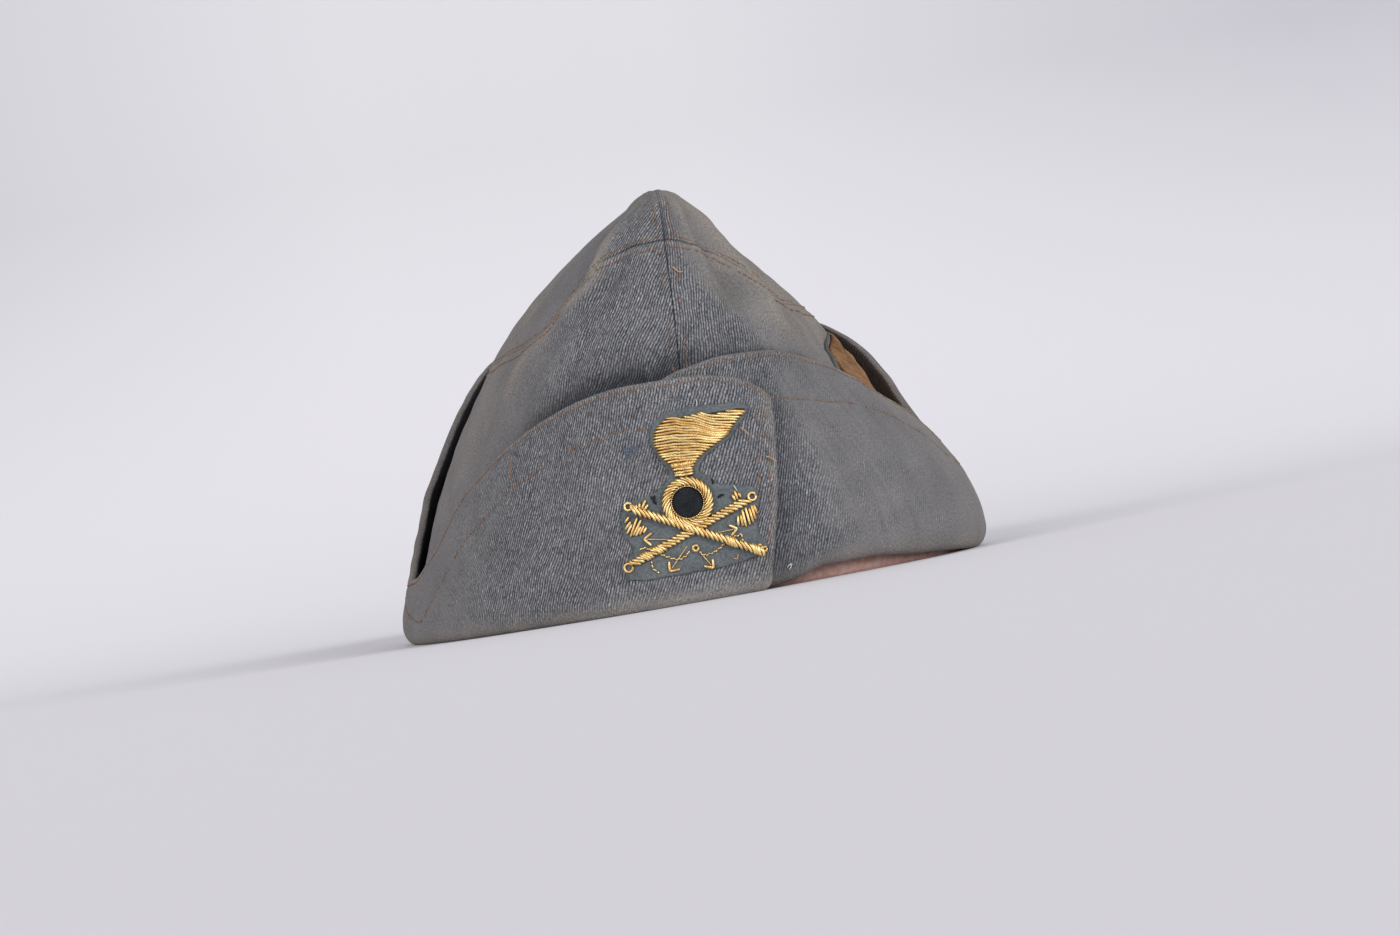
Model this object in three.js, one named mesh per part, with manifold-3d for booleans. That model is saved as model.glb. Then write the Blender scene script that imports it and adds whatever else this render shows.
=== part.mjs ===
// A cloth garrison cap, opened as it is worn and standing on its own rim.
// Millimetres, +Z up. The front faces -Y and the wearer's left is +X.
// The origin is the middle of the cap's length and width, on the surface that it stands on.
// The shapes are drawn from the middle of the rim, and the whole is then moved onto the origin.

import * as THREE from 'three';
import { mergeVertices } from 'three/addons/utils/BufferGeometryUtils.js';
import Module from 'manifold-3d';

const wasm = await Module();
wasm.setup();

// Cloth and gaps
const crownWall = 2;
const turnUpWall = 2.4;
const leatherWall = 1.3;
const seamGap = 0.3;
const footGap = 0.6; // between the crown's wall and the fold under it

// The crown: one row for each level section, from the rim to the top of the dome.
// right, left, front and back are how far the outer face stands from the middle, which has
// slumped towards the wearer's left by lean. square is the power of the section's oval,
// where 2 is an ellipse.
const crownSections = [
  { height: 0, right: 90, left: 87.5, front: 103, back: 103, lean: 0, square: 2.2 },
  { height: 10, right: 88, left: 87, front: 102.8, back: 102.8, lean: 0, square: 2.2 },
  { height: 20, right: 84.6, left: 85, front: 102.5, back: 102.5, lean: 0, square: 2.2 },
  { height: 42, right: 76, left: 71, front: 101, back: 101, lean: 0, square: 2.2 },
  { height: 57, right: 67.5, left: 59.5, front: 99, back: 99, lean: 0, square: 2.2 },
  { height: 68, right: 61.5, left: 52.5, front: 97.5, back: 97, lean: 0.4, square: 2.2 },
  { height: 78, right: 56, left: 48, front: 95, back: 94.5, lean: 1, square: 2.2 },
  { height: 87, right: 49.5, left: 41.3, front: 92, back: 90, lean: 1.7, square: 2.2 },
  { height: 96, right: 41.5, left: 33, front: 89, back: 85, lean: 2.4, square: 2.2 },
  { height: 104, right: 32.8, left: 24.6, front: 85.5, back: 79, lean: 3, square: 2.2 },
  { height: 110, right: 25.5, left: 18.8, front: 82, back: 73, lean: 3.5, square: 2.2 },
  { height: 117, right: 14.8, left: 13.6, front: 75.5, back: 63, lean: 4, square: 2.1 },
  { height: 121, right: 8.2, left: 10.6, front: 67, back: 50, lean: 4.2, square: 2 },
  { height: 123.5, right: 5.4, left: 6.5, front: 46, back: 30, lean: 4, square: 2 },
  { height: 124.5, right: 0, left: 0, front: 14, back: 8, lean: 3.6, square: 2 },
];

// Soft forms of the worn cloth above the turn-up: ridges along the two creases of the front,
// and dents between them. Each fades over its spread, in degrees and in height.
const softForms = [
  { angle: -30, height: 106, across: 6, up: 11, push: 1.3 },
  { angle: -34, height: 91, across: 6, up: 9, push: 1.4 },
  { angle: -44, height: 78, across: 7, up: 8, push: 1.2 },
  { angle: 35, height: 106, across: 6, up: 12, push: 1.3 },
  { angle: 36, height: 88, across: 6, up: 12, push: 1.4 },
  { angle: 22, height: 89, across: 8, up: 9, push: -2.2 },
  { angle: -16, height: 88, across: 8, up: 14, push: -1 },
  { angle: -62, height: 96, across: 14, up: 10, push: -1.6 },
  { angle: 58, height: 84, across: 14, up: 10, push: -1.8 },
  { angle: 120, height: 98, across: 18, up: 12, push: -2 },
  { angle: -128, height: 92, across: 16, up: 12, push: -2 },
  { angle: 88, height: 64, across: 15, up: 12, push: 5 },
];

// The seam between the side panels and the top panels: its height on the wearer's right and left
// at each angle from the front.
// It is level across the forehead, then runs down along the worn creases of the front.
const topSeam = [
  { angle: 0, right: 105, left: 105 },
  { angle: 17, right: 104.8, left: 102.6 },
  { angle: 27, right: 102.6, left: 99.6 },
  { angle: 31, right: 98.5, left: 95.5 },
  { angle: 36, right: 91.5, left: 90 },
  { angle: 42, right: 86.5, left: 86 },
  { angle: 54, right: 83, left: 83 },
  { angle: 90, right: 81, left: 81 },
  { angle: 125, right: 83, left: 83 },
  { angle: 155, right: 90, left: 90 },
  { angle: 180, right: 94, left: 94 },
];

// The turn-up: the height of its top edge at each angle from the front, on the wearer's
// right, where it laps over, and on the left, where it lies under. It is low over the ears
// and rises to a tall flap at the nape.
const turnUpTop = [
  { angle: -18, right: 53.5, left: 63.4 },
  { angle: -16.5, right: 57, left: 64 },
  { angle: -13.5, right: 60, left: 64.6 },
  { angle: -9, right: 62, left: 65.4 },
  { angle: 0, right: 63.8, left: 66.8 },
  { angle: 12, right: 64, left: 68.2 },
  { angle: 24, right: 62.4, left: 68 },
  { angle: 35, right: 58.6, left: 65.6 },
  { angle: 46, right: 52, left: 62 },
  { angle: 55, right: 43, left: 58 },
  { angle: 65, right: 28, left: 52.6 },
  { angle: 75, right: 20.5, left: 45.6 },
  { angle: 86, right: 20, left: 36 },
  { angle: 95, right: 34, left: 38 },
  { angle: 104, right: 57, left: 57 },
  { angle: 112, right: 74, left: 72.5 },
  { angle: 122, right: 87, left: 83 },
  { angle: 140, right: 93, left: 91 },
  { angle: 180, right: 93.5, left: 93.5 },
];

// How far the turn-up's inner face stands off the crown, by height: over the forehead, behind
// each ear, where it gapes, and at the nape
const turnUpStandOff = [
  { height: 0, front: 2.2, right: 2.2, left: 2.2, nape: 2.2 },
  { height: 15, front: 2.4, right: 2.4, left: 2.8, nape: 2.2 },
  { height: 28, front: 2.2, right: 3, left: 4.4, nape: 2.2 },
  { height: 45, front: 1.8, right: 5, left: 11, nape: 2.6 },
  { height: 60, front: 1.2, right: 7.2, left: 18, nape: 3.2 },
  { height: 70, front: 1.2, right: 8.8, left: 19.8, nape: 3.6 },
  { height: 84, front: 1.2, right: 9.2, left: 16, nape: 4.4 },
  { height: 94, front: 1.2, right: 10, left: 14, nape: 5.5 },
];
// Degrees from the front between which it passes from one column to the next
const earFrom = 66;
const earTo = 104;
const napeFrom = 118;
const napeTo = 165;

// The fold at the foot of the turn-up
const foldDepth = 1.5;
const foldRadius = 4.2;
const lapFoldRadius = 1.6; // where the right turn-up lies over the left one
const lipReach = 1.7; // under the crown's wall
const lipStub = 0.05; // what is left of the lip where the right turn-up lies over the left one
const turnUpStations = 46;
const liftedFold = 4; // the left fold clears the leather by this much
const liftedFoldRows = [
  { angle: -20, share: 0 },
  { angle: 6, share: 0.1 },
  { angle: 13, share: 0.45 },
  { angle: 19, share: 1 },
  { angle: 28, share: 1 },
  { angle: 41, share: 0.6 },
  { angle: 54, share: 0.3 },
  { angle: 72, share: 0 },
  { angle: 180, share: 0 },
];

// The lap at the front, in degrees from the front: the right end covers the left end
const lapEndAtFoot = 7.4;
const lapEndAtTop = 18;
const lapEndBend = 1.3; // the power by which the end's edge leans
const hiddenEnd = 9;
const turnUpGap = 1.2; // between the two turn-ups, at the lap and at the back seam
const lapRiseFrom = 32;
const lapRiseTo = 10;

const sweatbandHeight = 34;
const bandGap = 0.6; // level, between the crown's wall and the band

// The cotton that shows beside the wearer's left ear, where the crown's cloth has an edge
const liningPatchThickness = 0.8;
const liningPatchGap = 0.6; // over the crown's face
const liningPatchEdges = [
  { angle: 61, foot: 54, top: 62.5 },
  { angle: 66, foot: 50, top: 66.5 },
  { angle: 73, foot: 44, top: 70.5 },
  { angle: 81, foot: 40, top: 73.5 },
  { angle: 90, foot: 38, top: 75.5 },
  { angle: 103, foot: 38, top: 74.5 },
  { angle: 116, foot: 38, top: 66 },
];

// The badge, drawn on the turn-up's face: x from the front seam, z from the rim
const badge = {
  ringX: -5.3,
  ringZ: 28.4,
  ringRadius: 5.75,
  ringCord: 1.5,
  discRadius: 4,
  discRise: 1.1,
  discEdge: 0.3,
  backingThickness: 0.8,
  flameThickness: 1.9,
  flameEdge: 0.7,
  barrelRadius: 1.35,
  gap: 0.3,
  seat: 0.5,
};

// The backing's and the flame's outlines: a row for each height, from the foot up
const backingOutline = [
  { height: 8.4, left: -22, right: -1 },
  { height: 9.6, left: -25.6, right: 9 },
  { height: 12, left: -26.4, right: 15 },
  { height: 15, left: -25.2, right: 15.6 },
  { height: 18, left: -23.6, right: 12 },
  { height: 21, left: -24.4, right: 12.5 },
  { height: 25, left: -25.4, right: 15.2 },
  { height: 29, left: -25, right: 15.4 },
  { height: 31.4, left: -22.4, right: 13 },
  { height: 33.4, left: -14.6, right: 5.4 },
  { height: 36, left: -11.6, right: 2.8 },
  { height: 38.4, left: -10, right: 1.6 },
  { height: 41, left: -11, right: 4 },
  { height: 44, left: -13, right: 10 },
  { height: 48, left: -14, right: 15.4 },
  { height: 51, left: -13.4, right: 17.6 },
  { height: 53.2, left: -9.6, right: 18 },
  { height: 54.4, left: -4, right: 16.5 },
];
const flameOutline = [
  { height: 36.6, left: -7, right: -2.3 },
  { height: 38.5, left: -7.6, right: -1.2 },
  { height: 40.2, left: -8.6, right: 0 },
  { height: 41.8, left: -9.5, right: 2.6 },
  { height: 43.5, left: -10.4, right: 7.2 },
  { height: 45.5, left: -11.4, right: 10.2 },
  { height: 47.8, left: -12.1, right: 13 },
  { height: 50, left: -11.6, right: 14.8 },
  { height: 51.6, left: -9.8, right: 15.8 },
  { height: 52.7, left: -5.6, right: 16.3 },
];
// The two crossed barrels, from muzzle to breech
const barrels = [
  { from: { x: -21.6, z: 29 }, to: { x: 14.1, z: 11.2 } },
  { from: { x: 12.9, z: 26.6 }, to: { x: -24.6, z: 12.4 } },
];

const cloth = { color: 0x6f7174, roughness: 0.92, metalness: 0 };
const clothUnder = { color: 0x67696d, roughness: 0.92, metalness: 0 };
const leather = { color: 0x73483f, roughness: 0.5, metalness: 0 };
const cotton = { color: 0xa0703f, roughness: 0.9, metalness: 0 };
const felt = { color: 0x4b585f, roughness: 0.95, metalness: 0 };
const gold = { color: 0xc0923a, roughness: 0.4, metalness: 0.8 };
const blackCloth = { color: 0x191b20, roughness: 0.9, metalness: 0 };

const degrees = Math.PI / 180;

// Smooth value of one column of a table, with no overshoot between the rows
function tableValue(rows, key, at, column) {
  if (at <= rows[0][key]) return rows[0][column];
  const last = rows.length - 1;
  if (at >= rows[last][key]) return rows[last][column];
  let i = 0;
  while (rows[i + 1][key] < at) i += 1;
  const slope = (k) => (rows[k + 1][column] - rows[k][column]) / (rows[k + 1][key] - rows[k][key]);
  const tangent = (k) => {
    if (k === 0) return slope(0);
    if (k === last) return slope(last - 1);
    const before = slope(k - 1);
    const after = slope(k);
    return before * after <= 0 ? 0 : (2 * before * after) / (before + after);
  };
  const width = rows[i + 1][key] - rows[i][key];
  const t = (at - rows[i][key]) / width;
  const rest = 1 - t;
  return (
    rows[i][column] * (1 + 2 * t) * rest * rest +
    tangent(i) * width * t * rest * rest +
    rows[i + 1][column] * t * t * (3 - 2 * t) -
    tangent(i + 1) * width * t * t * rest
  );
}

function smoothStep(from, to, at) {
  const t = THREE.MathUtils.clamp((at - from) / (to - from), 0, 1);
  return t * t * (3 - 2 * t);
}

function spread(count, at) {
  return Array.from({ length: count + 1 }, (_, i) => at(i / count));
}

function signedPower(value, power) {
  return Math.sign(value) * Math.abs(value) ** power;
}

// A point of the crown's even form. The angle is in degrees from the front, towards +X.
function formPoint(angle, height) {
  const column = (name) => tableValue(crownSections, 'height', height, name);
  const power = 2 / column('square');
  const across = Math.sin(angle * degrees);
  const along = -Math.cos(angle * degrees);
  const reach = along < 0 ? column('front') : column('back');
  const width = across < 0 ? column('right') : column('left');
  return new THREE.Vector3(
    column('lean') + width * signedPower(across, power),
    reach * signedPower(along, power),
    height,
  );
}

// The level direction that points out of the form
function outwardAt(angle, height) {
  const step = 0.5;
  const below = Math.min(height, crownSections[crownSections.length - 3].height);
  const before = formPoint(angle - step, below);
  const after = formPoint(angle + step, below);
  return new THREE.Vector3(after.y - before.y, before.x - after.x, 0).normalize();
}

function offForm(angle, height, distance) {
  return formPoint(angle, height).addScaledVector(outwardAt(angle, height), distance);
}

// A point of the crown's outer face, with its ridges and dents, or above it
function crownPoint(angle, height, above = 0) {
  const push = softForms.reduce((sum, form) => {
    const across = (angle - form.angle) / form.across;
    const up = (height - form.height) / form.up;
    return sum + form.push * Math.exp(-(across ** 2 + up ** 2));
  }, 0);
  return offForm(angle, height, push + above);
}

// A face is pushed back along its own normal to give the cloth its thickness. The normal is read
// inside the face, no higher than vMost, because the top panels narrow to a line at the crest.
function pushedIn(pointAt, u, v, distance, vMost) {
  const step = 1e-3;
  const uInside = THREE.MathUtils.clamp(u, step, 1 - step);
  const vInside = THREE.MathUtils.clamp(v, step, vMost);
  const across = pointAt(uInside + step, vInside).sub(pointAt(uInside - step, vInside));
  const up = pointAt(uInside, vInside + step).sub(pointAt(uInside, vInside - step));
  const normal = across.cross(up).normalize();
  return pointAt(u, v).addScaledVector(normal, -distance);
}

// A closed solid from indexed corners, with the faces turned to point out
function solid(points, triangles) {
  const geometry = new THREE.BufferGeometry();
  const numbers = points.flatMap((point) => point.toArray());
  geometry.setAttribute('position', new THREE.Float32BufferAttribute(numbers, 3));
  let volume = 0;
  for (const [a, b, c] of triangles) {
    volume += points[a].dot(points[b].clone().cross(points[c]));
  }
  const turned = volume < 0 ? triangles.map(([a, b, c]) => [a, c, b]) : triangles;
  geometry.setIndex(turned.flat());
  geometry.computeVertexNormals();
  return geometry;
}

// A sheet with thickness: rows of outer points, and rows of inner points behind them
function sheetSolid(outer, inner) {
  const rows = outer.length;
  const columns = outer[0].length;
  const points = [...outer.flat(), ...inner.flat()];
  const index = (side, row, column) => side * rows * columns + row * columns + column;
  const triangles = [];
  const quad = (a, b, c, d) => triangles.push([a, b, c], [a, c, d]);
  for (let r = 0; r + 1 < rows; r += 1) {
    for (let c = 0; c + 1 < columns; c += 1) {
      quad(index(0, r, c), index(0, r, c + 1), index(0, r + 1, c + 1), index(0, r + 1, c));
      quad(index(1, r, c), index(1, r + 1, c), index(1, r + 1, c + 1), index(1, r, c + 1));
    }
    quad(index(0, r, 0), index(0, r + 1, 0), index(1, r + 1, 0), index(1, r, 0));
    quad(
      index(0, r, columns - 1),
      index(1, r, columns - 1),
      index(1, r + 1, columns - 1),
      index(0, r + 1, columns - 1),
    );
  }
  for (let c = 0; c + 1 < columns; c += 1) {
    quad(index(0, 0, c), index(1, 0, c), index(1, 0, c + 1), index(0, 0, c + 1));
    quad(
      index(0, rows - 1, c),
      index(0, rows - 1, c + 1),
      index(1, rows - 1, c + 1),
      index(1, rows - 1, c),
    );
  }
  return solid(points, triangles);
}

// A closed profile carried along a line of stations: rings[station][corner]
function sweptSolid(rings, profile, joined) {
  const corners = rings[0].length;
  const triangles = [];
  const stations = joined ? rings.length : rings.length - 1;
  for (let s = 0; s < stations; s += 1) {
    const here = s * corners;
    const next = ((s + 1) % rings.length) * corners;
    for (let k = 0; k < corners; k += 1) {
      const after = (k + 1) % corners;
      triangles.push([here + k, here + after, next + after], [here + k, next + after, next + k]);
    }
  }
  if (!joined) {
    const flat = (corner) => new THREE.Vector2(corner.offset, corner.height);
    for (const [a, b, c] of THREE.ShapeUtils.triangulateShape(profile.map(flat), [])) {
      const end = (rings.length - 1) * corners;
      triangles.push([a, c, b], [end + a, end + b, end + c]);
    }
  }
  return solid(rings.flat(), triangles);
}

function piece(name, geometry, finish) {
  const mesh = new THREE.Mesh(geometry, new THREE.MeshStandardMaterial(finish));
  mesh.name = name;
  return mesh;
}

// Keeps the two halves of the middle seam apart by the seam's gap
function keptToSide(point, side, onSeam, gap = seamGap) {
  const edge = tableValue(crownSections, 'height', point.z, 'lean') + (side * gap) / 2;
  if (onSeam || point.x * side < edge * side) point.x = edge;
  return point;
}

function foldFoot(angle, side) {
  return side < 0 ? 0 : liftedFold * tableValue(liftedFoldRows, 'angle', angle, 'share');
}

function topSeamHeight(angle, side) {
  return tableValue(topSeam, 'angle', angle, side < 0 ? 'right' : 'left');
}

function crownPanel(side) {
  const faceAt = (u, v) => {
    const angle = 180 * u;
    const foot = foldFoot(side * angle, side) + foldDepth + footGap;
    const top = topSeamHeight(angle, side) - seamGap / 2;
    return crownPoint(side * angle, THREE.MathUtils.lerp(foot, top, v));
  };
  return seamedSheet(faceAt, side, 10, 0.999);
}

function topPanel(side) {
  const faceAt = (u, v) => {
    const angle = 180 * u;
    const seam = topSeamHeight(angle, side) + seamGap / 2;
    const crest = crownSections[crownSections.length - 1].height;
    return crownPoint(side * angle, THREE.MathUtils.lerp(seam, crest, Math.sin(v * 90 * degrees)));
  };
  return seamedSheet(faceAt, side, 9, 0.96);
}

// Half of the crown's surface, from the front seam to the back seam
function seamedSheet(faceAt, side, rows, vMost) {
  const columns = 30;
  const onSeam = (u) => u === 0 || u === 1;
  const placed = (at, u, v) => keptToSide(at(u, v), side, onSeam(u));
  const grid = (at) => spread(rows, (v) => spread(columns, (u) => placed(at, u, v)));
  const turned = side < 0 ? -crownWall : crownWall;
  return sheetSolid(grid(faceAt), grid((u, v) => pushedIn(faceAt, u, v, turned, vMost)));
}

// The height of a turn-up's top edge. Its table counts angles from the front towards its own side.
function turnUpTopAt(angle, side) {
  return tableValue(turnUpTop, 'angle', angle * side, side < 0 ? 'right' : 'left');
}

// How far the inner face of a turn-up stands off the crown. The right one rises over the left
// one's end.
function standOffAt(angle, height, side) {
  const column = (name) => tableValue(turnUpStandOff, 'height', height, name);
  const fromFront = Math.abs(angle);
  const { lerp } = THREE.MathUtils;
  const gape = column(angle < 0 ? 'right' : 'left');
  const towardsEar = lerp(column('front'), gape, smoothStep(earFrom, earTo, fromFront));
  const standOff = lerp(towardsEar, column('nape'), smoothStep(napeFrom, napeTo, fromFront));
  return standOff + (turnUpWall + turnUpGap) * lapAt(angle, side);
}

// 1 where the right turn-up lies over the left one's hidden end
function lapAt(angle, side) {
  return side < 0 ? smoothStep(-lapRiseFrom, -lapRiseTo, angle) : 0;
}

// The turn-up's profile: down the outer face, under the fold to a lip below the crown's wall,
// and up the inner face to the top edge
function turnUpProfile(angle, side) {
  const foot = foldFoot(angle, side);
  const crease = foot + foldDepth;
  const top = turnUpTopAt(angle, side);
  const face = (share, offset) => {
    const height = THREE.MathUtils.lerp(crease, top, share);
    return { offset: standOffAt(angle, height, side) + offset, height };
  };
  const footOffset = standOffAt(angle, foot, side) + turnUpWall;
  const lipUnderLap = standOffAt(angle, foot, side) - lipStub;
  const lip = THREE.MathUtils.lerp(-lipReach, lipUnderLap, lapAt(angle, side));
  const radius = THREE.MathUtils.lerp(foldRadius, lapFoldRadius, lapAt(angle, side));
  return [
    face(0.98, 0.75 * turnUpWall),
    ...[0.88, 0.62, 0.34, 0.12].map((share) => face(share, turnUpWall)),
    { offset: footOffset, height: foot + radius },
    { offset: footOffset - 0.3 * radius, height: foot + 0.3 * radius },
    { offset: footOffset - radius, height: foot },
    { offset: lip, height: foot },
    { offset: lip, height: crease },
    ...[0, 0.3, 0.6, 0.86].map((share) => face(share, 0)),
    face(1, 0.3 * turnUpWall),
  ].reverse();
}

function turnUp(side) {
  const start = side < 0 ? lapEndAtFoot : -hiddenEnd;
  const rings = spread(turnUpStations, (share) => {
    const eased = share * (0.6 + 0.4 * share); // closer stations near the lap
    const ring = turnUpRing(eased, side, start);
    return share === 1 ? ring.map((point) => keptToSide(point, side, true, turnUpGap)) : ring;
  });
  return sweptSolid(rings, turnUpProfile(start, side), false);
}

// One station of the turn-up. The lapped end's edge leans, so there the angle grows with height.
function turnUpRing(share, side, start) {
  const base = THREE.MathUtils.lerp(start, side * 180, share);
  const lean = side < 0 ? (lapEndAtTop - lapEndAtFoot) * (1 - smoothStep(0, 0.16, share)) : 0;
  const top = turnUpTopAt(base + lean, side);
  return turnUpProfile(base + lean, side).map((corner) => {
    const angle = base + lean * Math.max(corner.height / top, 0) ** lapEndBend;
    return offForm(angle, corner.height, corner.offset);
  });
}

function sweatband() {
  const outerOffset = -crownWall - bandGap;
  const rowsAt = (offset) => spread(3, (share) => ({ offset, height: share * sweatbandHeight }));
  const profile = [...rowsAt(outerOffset), ...rowsAt(outerOffset - leatherWall).reverse()];
  const stations = 64;
  const rings = Array.from({ length: stations }, (_, i) => {
    const angle = -180 + (360 * i) / stations;
    return profile.map((corner) => offForm(angle, corner.height, corner.offset));
  });
  return sweptSolid(rings, profile, true);
}

// A thin sheet on the crown's face, between the foot and the top of its edges' table
function cottonPatch() {
  const front = liningPatchEdges[0].angle;
  const back = liningPatchEdges[liningPatchEdges.length - 1].angle;
  const faceAt = (above) => (u, v) => {
    const angle = THREE.MathUtils.lerp(front, back, u);
    const foot = tableValue(liningPatchEdges, 'angle', angle, 'foot');
    const top = tableValue(liningPatchEdges, 'angle', angle, 'top');
    return crownPoint(angle, THREE.MathUtils.lerp(foot, top, v), liningPatchGap + above);
  };
  const grid = (at) => spread(4, (v) => spread(9, (u) => at(u, v)));
  return sheetSolid(grid(faceAt(liningPatchThickness)), grid(faceAt(0)));
}

// A point above the lapped turn-up's face, found from its x and z on the front of the cap
function onTurnUp(x, z, above) {
  const faceAt = (angle) => offForm(angle, z, standOffAt(angle, z, -1) + turnUpWall + above);
  let low = -60;
  let high = 40;
  while (high - low > 1e-6) {
    const middle = (low + high) / 2;
    if (faceAt(middle).x < x) low = middle;
    else high = middle;
  }
  return faceAt(low);
}

// A flat patch or a padded shape that lies on the turn-up, drawn by its outline's rows.
// Its thickness is worked out from -1 to 1 across it and from its foot to its top.
function patchOnTurnUp(outline, columns, under, thicknessAt) {
  const rowsAt = (above) =>
    outline.map((row, r) =>
      spread(columns, (share) => {
        const x = THREE.MathUtils.lerp(row.left, row.right, share);
        const up = (2 * r) / (outline.length - 1) - 1;
        return onTurnUp(x, row.height, above(2 * share - 1, up));
      }),
    );
  return sheetSolid(rowsAt((across, up) => under + thicknessAt(across, up)), rowsAt(() => under));
}

function badgeBacking() {
  return patchOnTurnUp(backingOutline, 10, badge.seat, () => badge.backingThickness);
}

const backingTop = badge.seat + badge.backingThickness + badge.gap;

function badgeFlame() {
  const padded = (across, up) => {
    const crowned = Math.sqrt(Math.max(0, 1 - across ** 4)) * (1 - 0.4 * up ** 4);
    return THREE.MathUtils.lerp(badge.flameEdge, badge.flameThickness, crowned);
  };
  return patchOnTurnUp(flameOutline, 8, backingTop, padded);
}

// A cord of round section along points on the turn-up's face
function cordOnTurnUp(route, radiusAt, lift, joined) {
  const sides = 8;
  const rings = route.map((place, i) => {
    const radius = radiusAt(i / (route.length - 1));
    const centre = onTurnUp(place.x, place.z, lift + radius);
    const out = onTurnUp(place.x, place.z, lift + radius + 1).sub(centre).normalize();
    const next = route[(i + 1) % route.length];
    const before = route[(i + route.length - 1) % route.length];
    const ahead = joined || i + 1 < route.length ? next : place;
    const behind = joined || i > 0 ? before : place;
    const along = onTurnUp(ahead.x, ahead.z, lift).sub(onTurnUp(behind.x, behind.z, lift)).normalize();
    const across = along.clone().cross(out).normalize();
    return spread(sides - 1, (share) => {
      const turn = share * (sides - 1) * (360 / sides) * degrees;
      return centre
        .clone()
        .addScaledVector(across, radius * Math.cos(turn))
        .addScaledVector(out, radius * Math.sin(turn));
    });
  });
  const profile = spread(sides - 1, (share) => {
    const turn = share * (sides - 1) * (360 / sides) * degrees;
    return { offset: Math.cos(turn), height: Math.sin(turn) };
  });
  return sweptSolid(rings, profile, joined);
}

function onCircle(radius, turn) {
  return { x: badge.ringX + radius * Math.cos(turn), z: badge.ringZ + radius * Math.sin(turn) };
}

function badgeRing(cordRadius) {
  const stations = 28;
  const route = Array.from({ length: stations }, (_, i) => {
    const turn = (i / stations) * 360 * degrees;
    return onCircle(badge.ringRadius, turn);
  });
  return cordOnTurnUp(route, () => cordRadius, backingTop + badge.ringCord - cordRadius, true);
}

// The dark disc inside the ring: a low dome over a flat foot
function badgeDisc() {
  const stations = 20;
  const points = [];
  const triangles = [];
  const place = (share, i, above) => {
    const spot = onCircle(badge.discRadius * share, (i / stations) * 360 * degrees);
    return onTurnUp(spot.x, spot.z, backingTop + above);
  };
  const domeAt = (share) => badge.discEdge + badge.discRise * (1 - share ** 2);
  const dome = [1, 0.75, 0.4].map((share) => ({ share, above: domeAt(share) }));
  const layers = [{ share: 1, above: 0 }, ...dome];
  for (const layer of layers) {
    for (let i = 0; i < stations; i += 1) points.push(place(layer.share, i, layer.above));
  }
  const foot = points.push(place(0, 0, 0)) - 1;
  const crest = points.push(place(0, 0, domeAt(0))) - 1;
  const top = (layers.length - 1) * stations;
  for (let i = 0; i < stations; i += 1) {
    const next = (i + 1) % stations;
    triangles.push([foot, next, i], [crest, top + i, top + next]);
    for (let layer = 0; layer + 1 < layers.length; layer += 1) {
      const a = layer * stations;
      const b = a + stations;
      triangles.push([a + i, a + next, b + next], [a + i, b + next, b + i]);
    }
  }
  return solid(points, triangles);
}

// The crossed barrels are one piece, cut back where the ring lies over them
function badgeBarrels() {
  const tapered = (share) => badge.barrelRadius * (0.85 + 0.15 * share);
  const crossed = barrels.map((barrel) => {
    const route = spread(18, (share) => ({
      x: THREE.MathUtils.lerp(barrel.from.x, barrel.to.x, share),
      z: THREE.MathUtils.lerp(barrel.from.z, barrel.to.z, share),
    }));
    return toManifold(cordOnTurnUp(route, tapered, backingTop, false));
  });
  const cutter = toManifold(badgeRing(badge.ringCord + badge.gap));
  return fromManifold(crossed[0].add(crossed[1]).subtract(cutter));
}

function toManifold(geometry) {
  const bare = geometry.clone();
  bare.deleteAttribute('normal');
  const merged = mergeVertices(bare, 1e-4);
  return new wasm.Manifold(
    new wasm.Mesh({
      numProp: 3,
      vertProperties: new Float32Array(merged.attributes.position.array),
      triVerts: new Uint32Array(merged.index.array),
    }),
  );
}

function fromManifold(body) {
  const mesh = body.getMesh();
  const geometry = new THREE.BufferGeometry();
  geometry.setAttribute('position', new THREE.BufferAttribute(mesh.vertProperties, 3));
  geometry.setIndex(new THREE.BufferAttribute(mesh.triVerts, 1));
  geometry.computeVertexNormals();
  return geometry;
}

const garrisonCap = new THREE.Group();
garrisonCap.add(
  piece('crown_left', crownPanel(1), cloth),
  piece('crown_right', crownPanel(-1), cloth),
  piece('top_left', topPanel(1), cloth),
  piece('top_right', topPanel(-1), cloth),
  piece('turn_up_left', turnUp(1), clothUnder),
  piece('turn_up_right', turnUp(-1), cloth),
  piece('sweatband', sweatband(), leather),
  piece('lining_patch', cottonPatch(), cotton),
  piece('badge_backing', badgeBacking(), felt),
  piece('badge_flame', badgeFlame(), gold),
  piece('badge_ring', badgeRing(badge.ringCord), gold),
  piece('badge_disc', badgeDisc(), blackCloth),
  piece('badge_barrels', badgeBarrels(), gold),
);

const extent = new THREE.Box3().setFromObject(garrisonCap);
garrisonCap.position.set(-(extent.min.x + extent.max.x) / 2, -(extent.min.y + extent.max.y) / 2, 0);

export default garrisonCap;
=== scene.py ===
import math

import bpy
import numpy as np
from mathutils import Matrix, Vector


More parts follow.
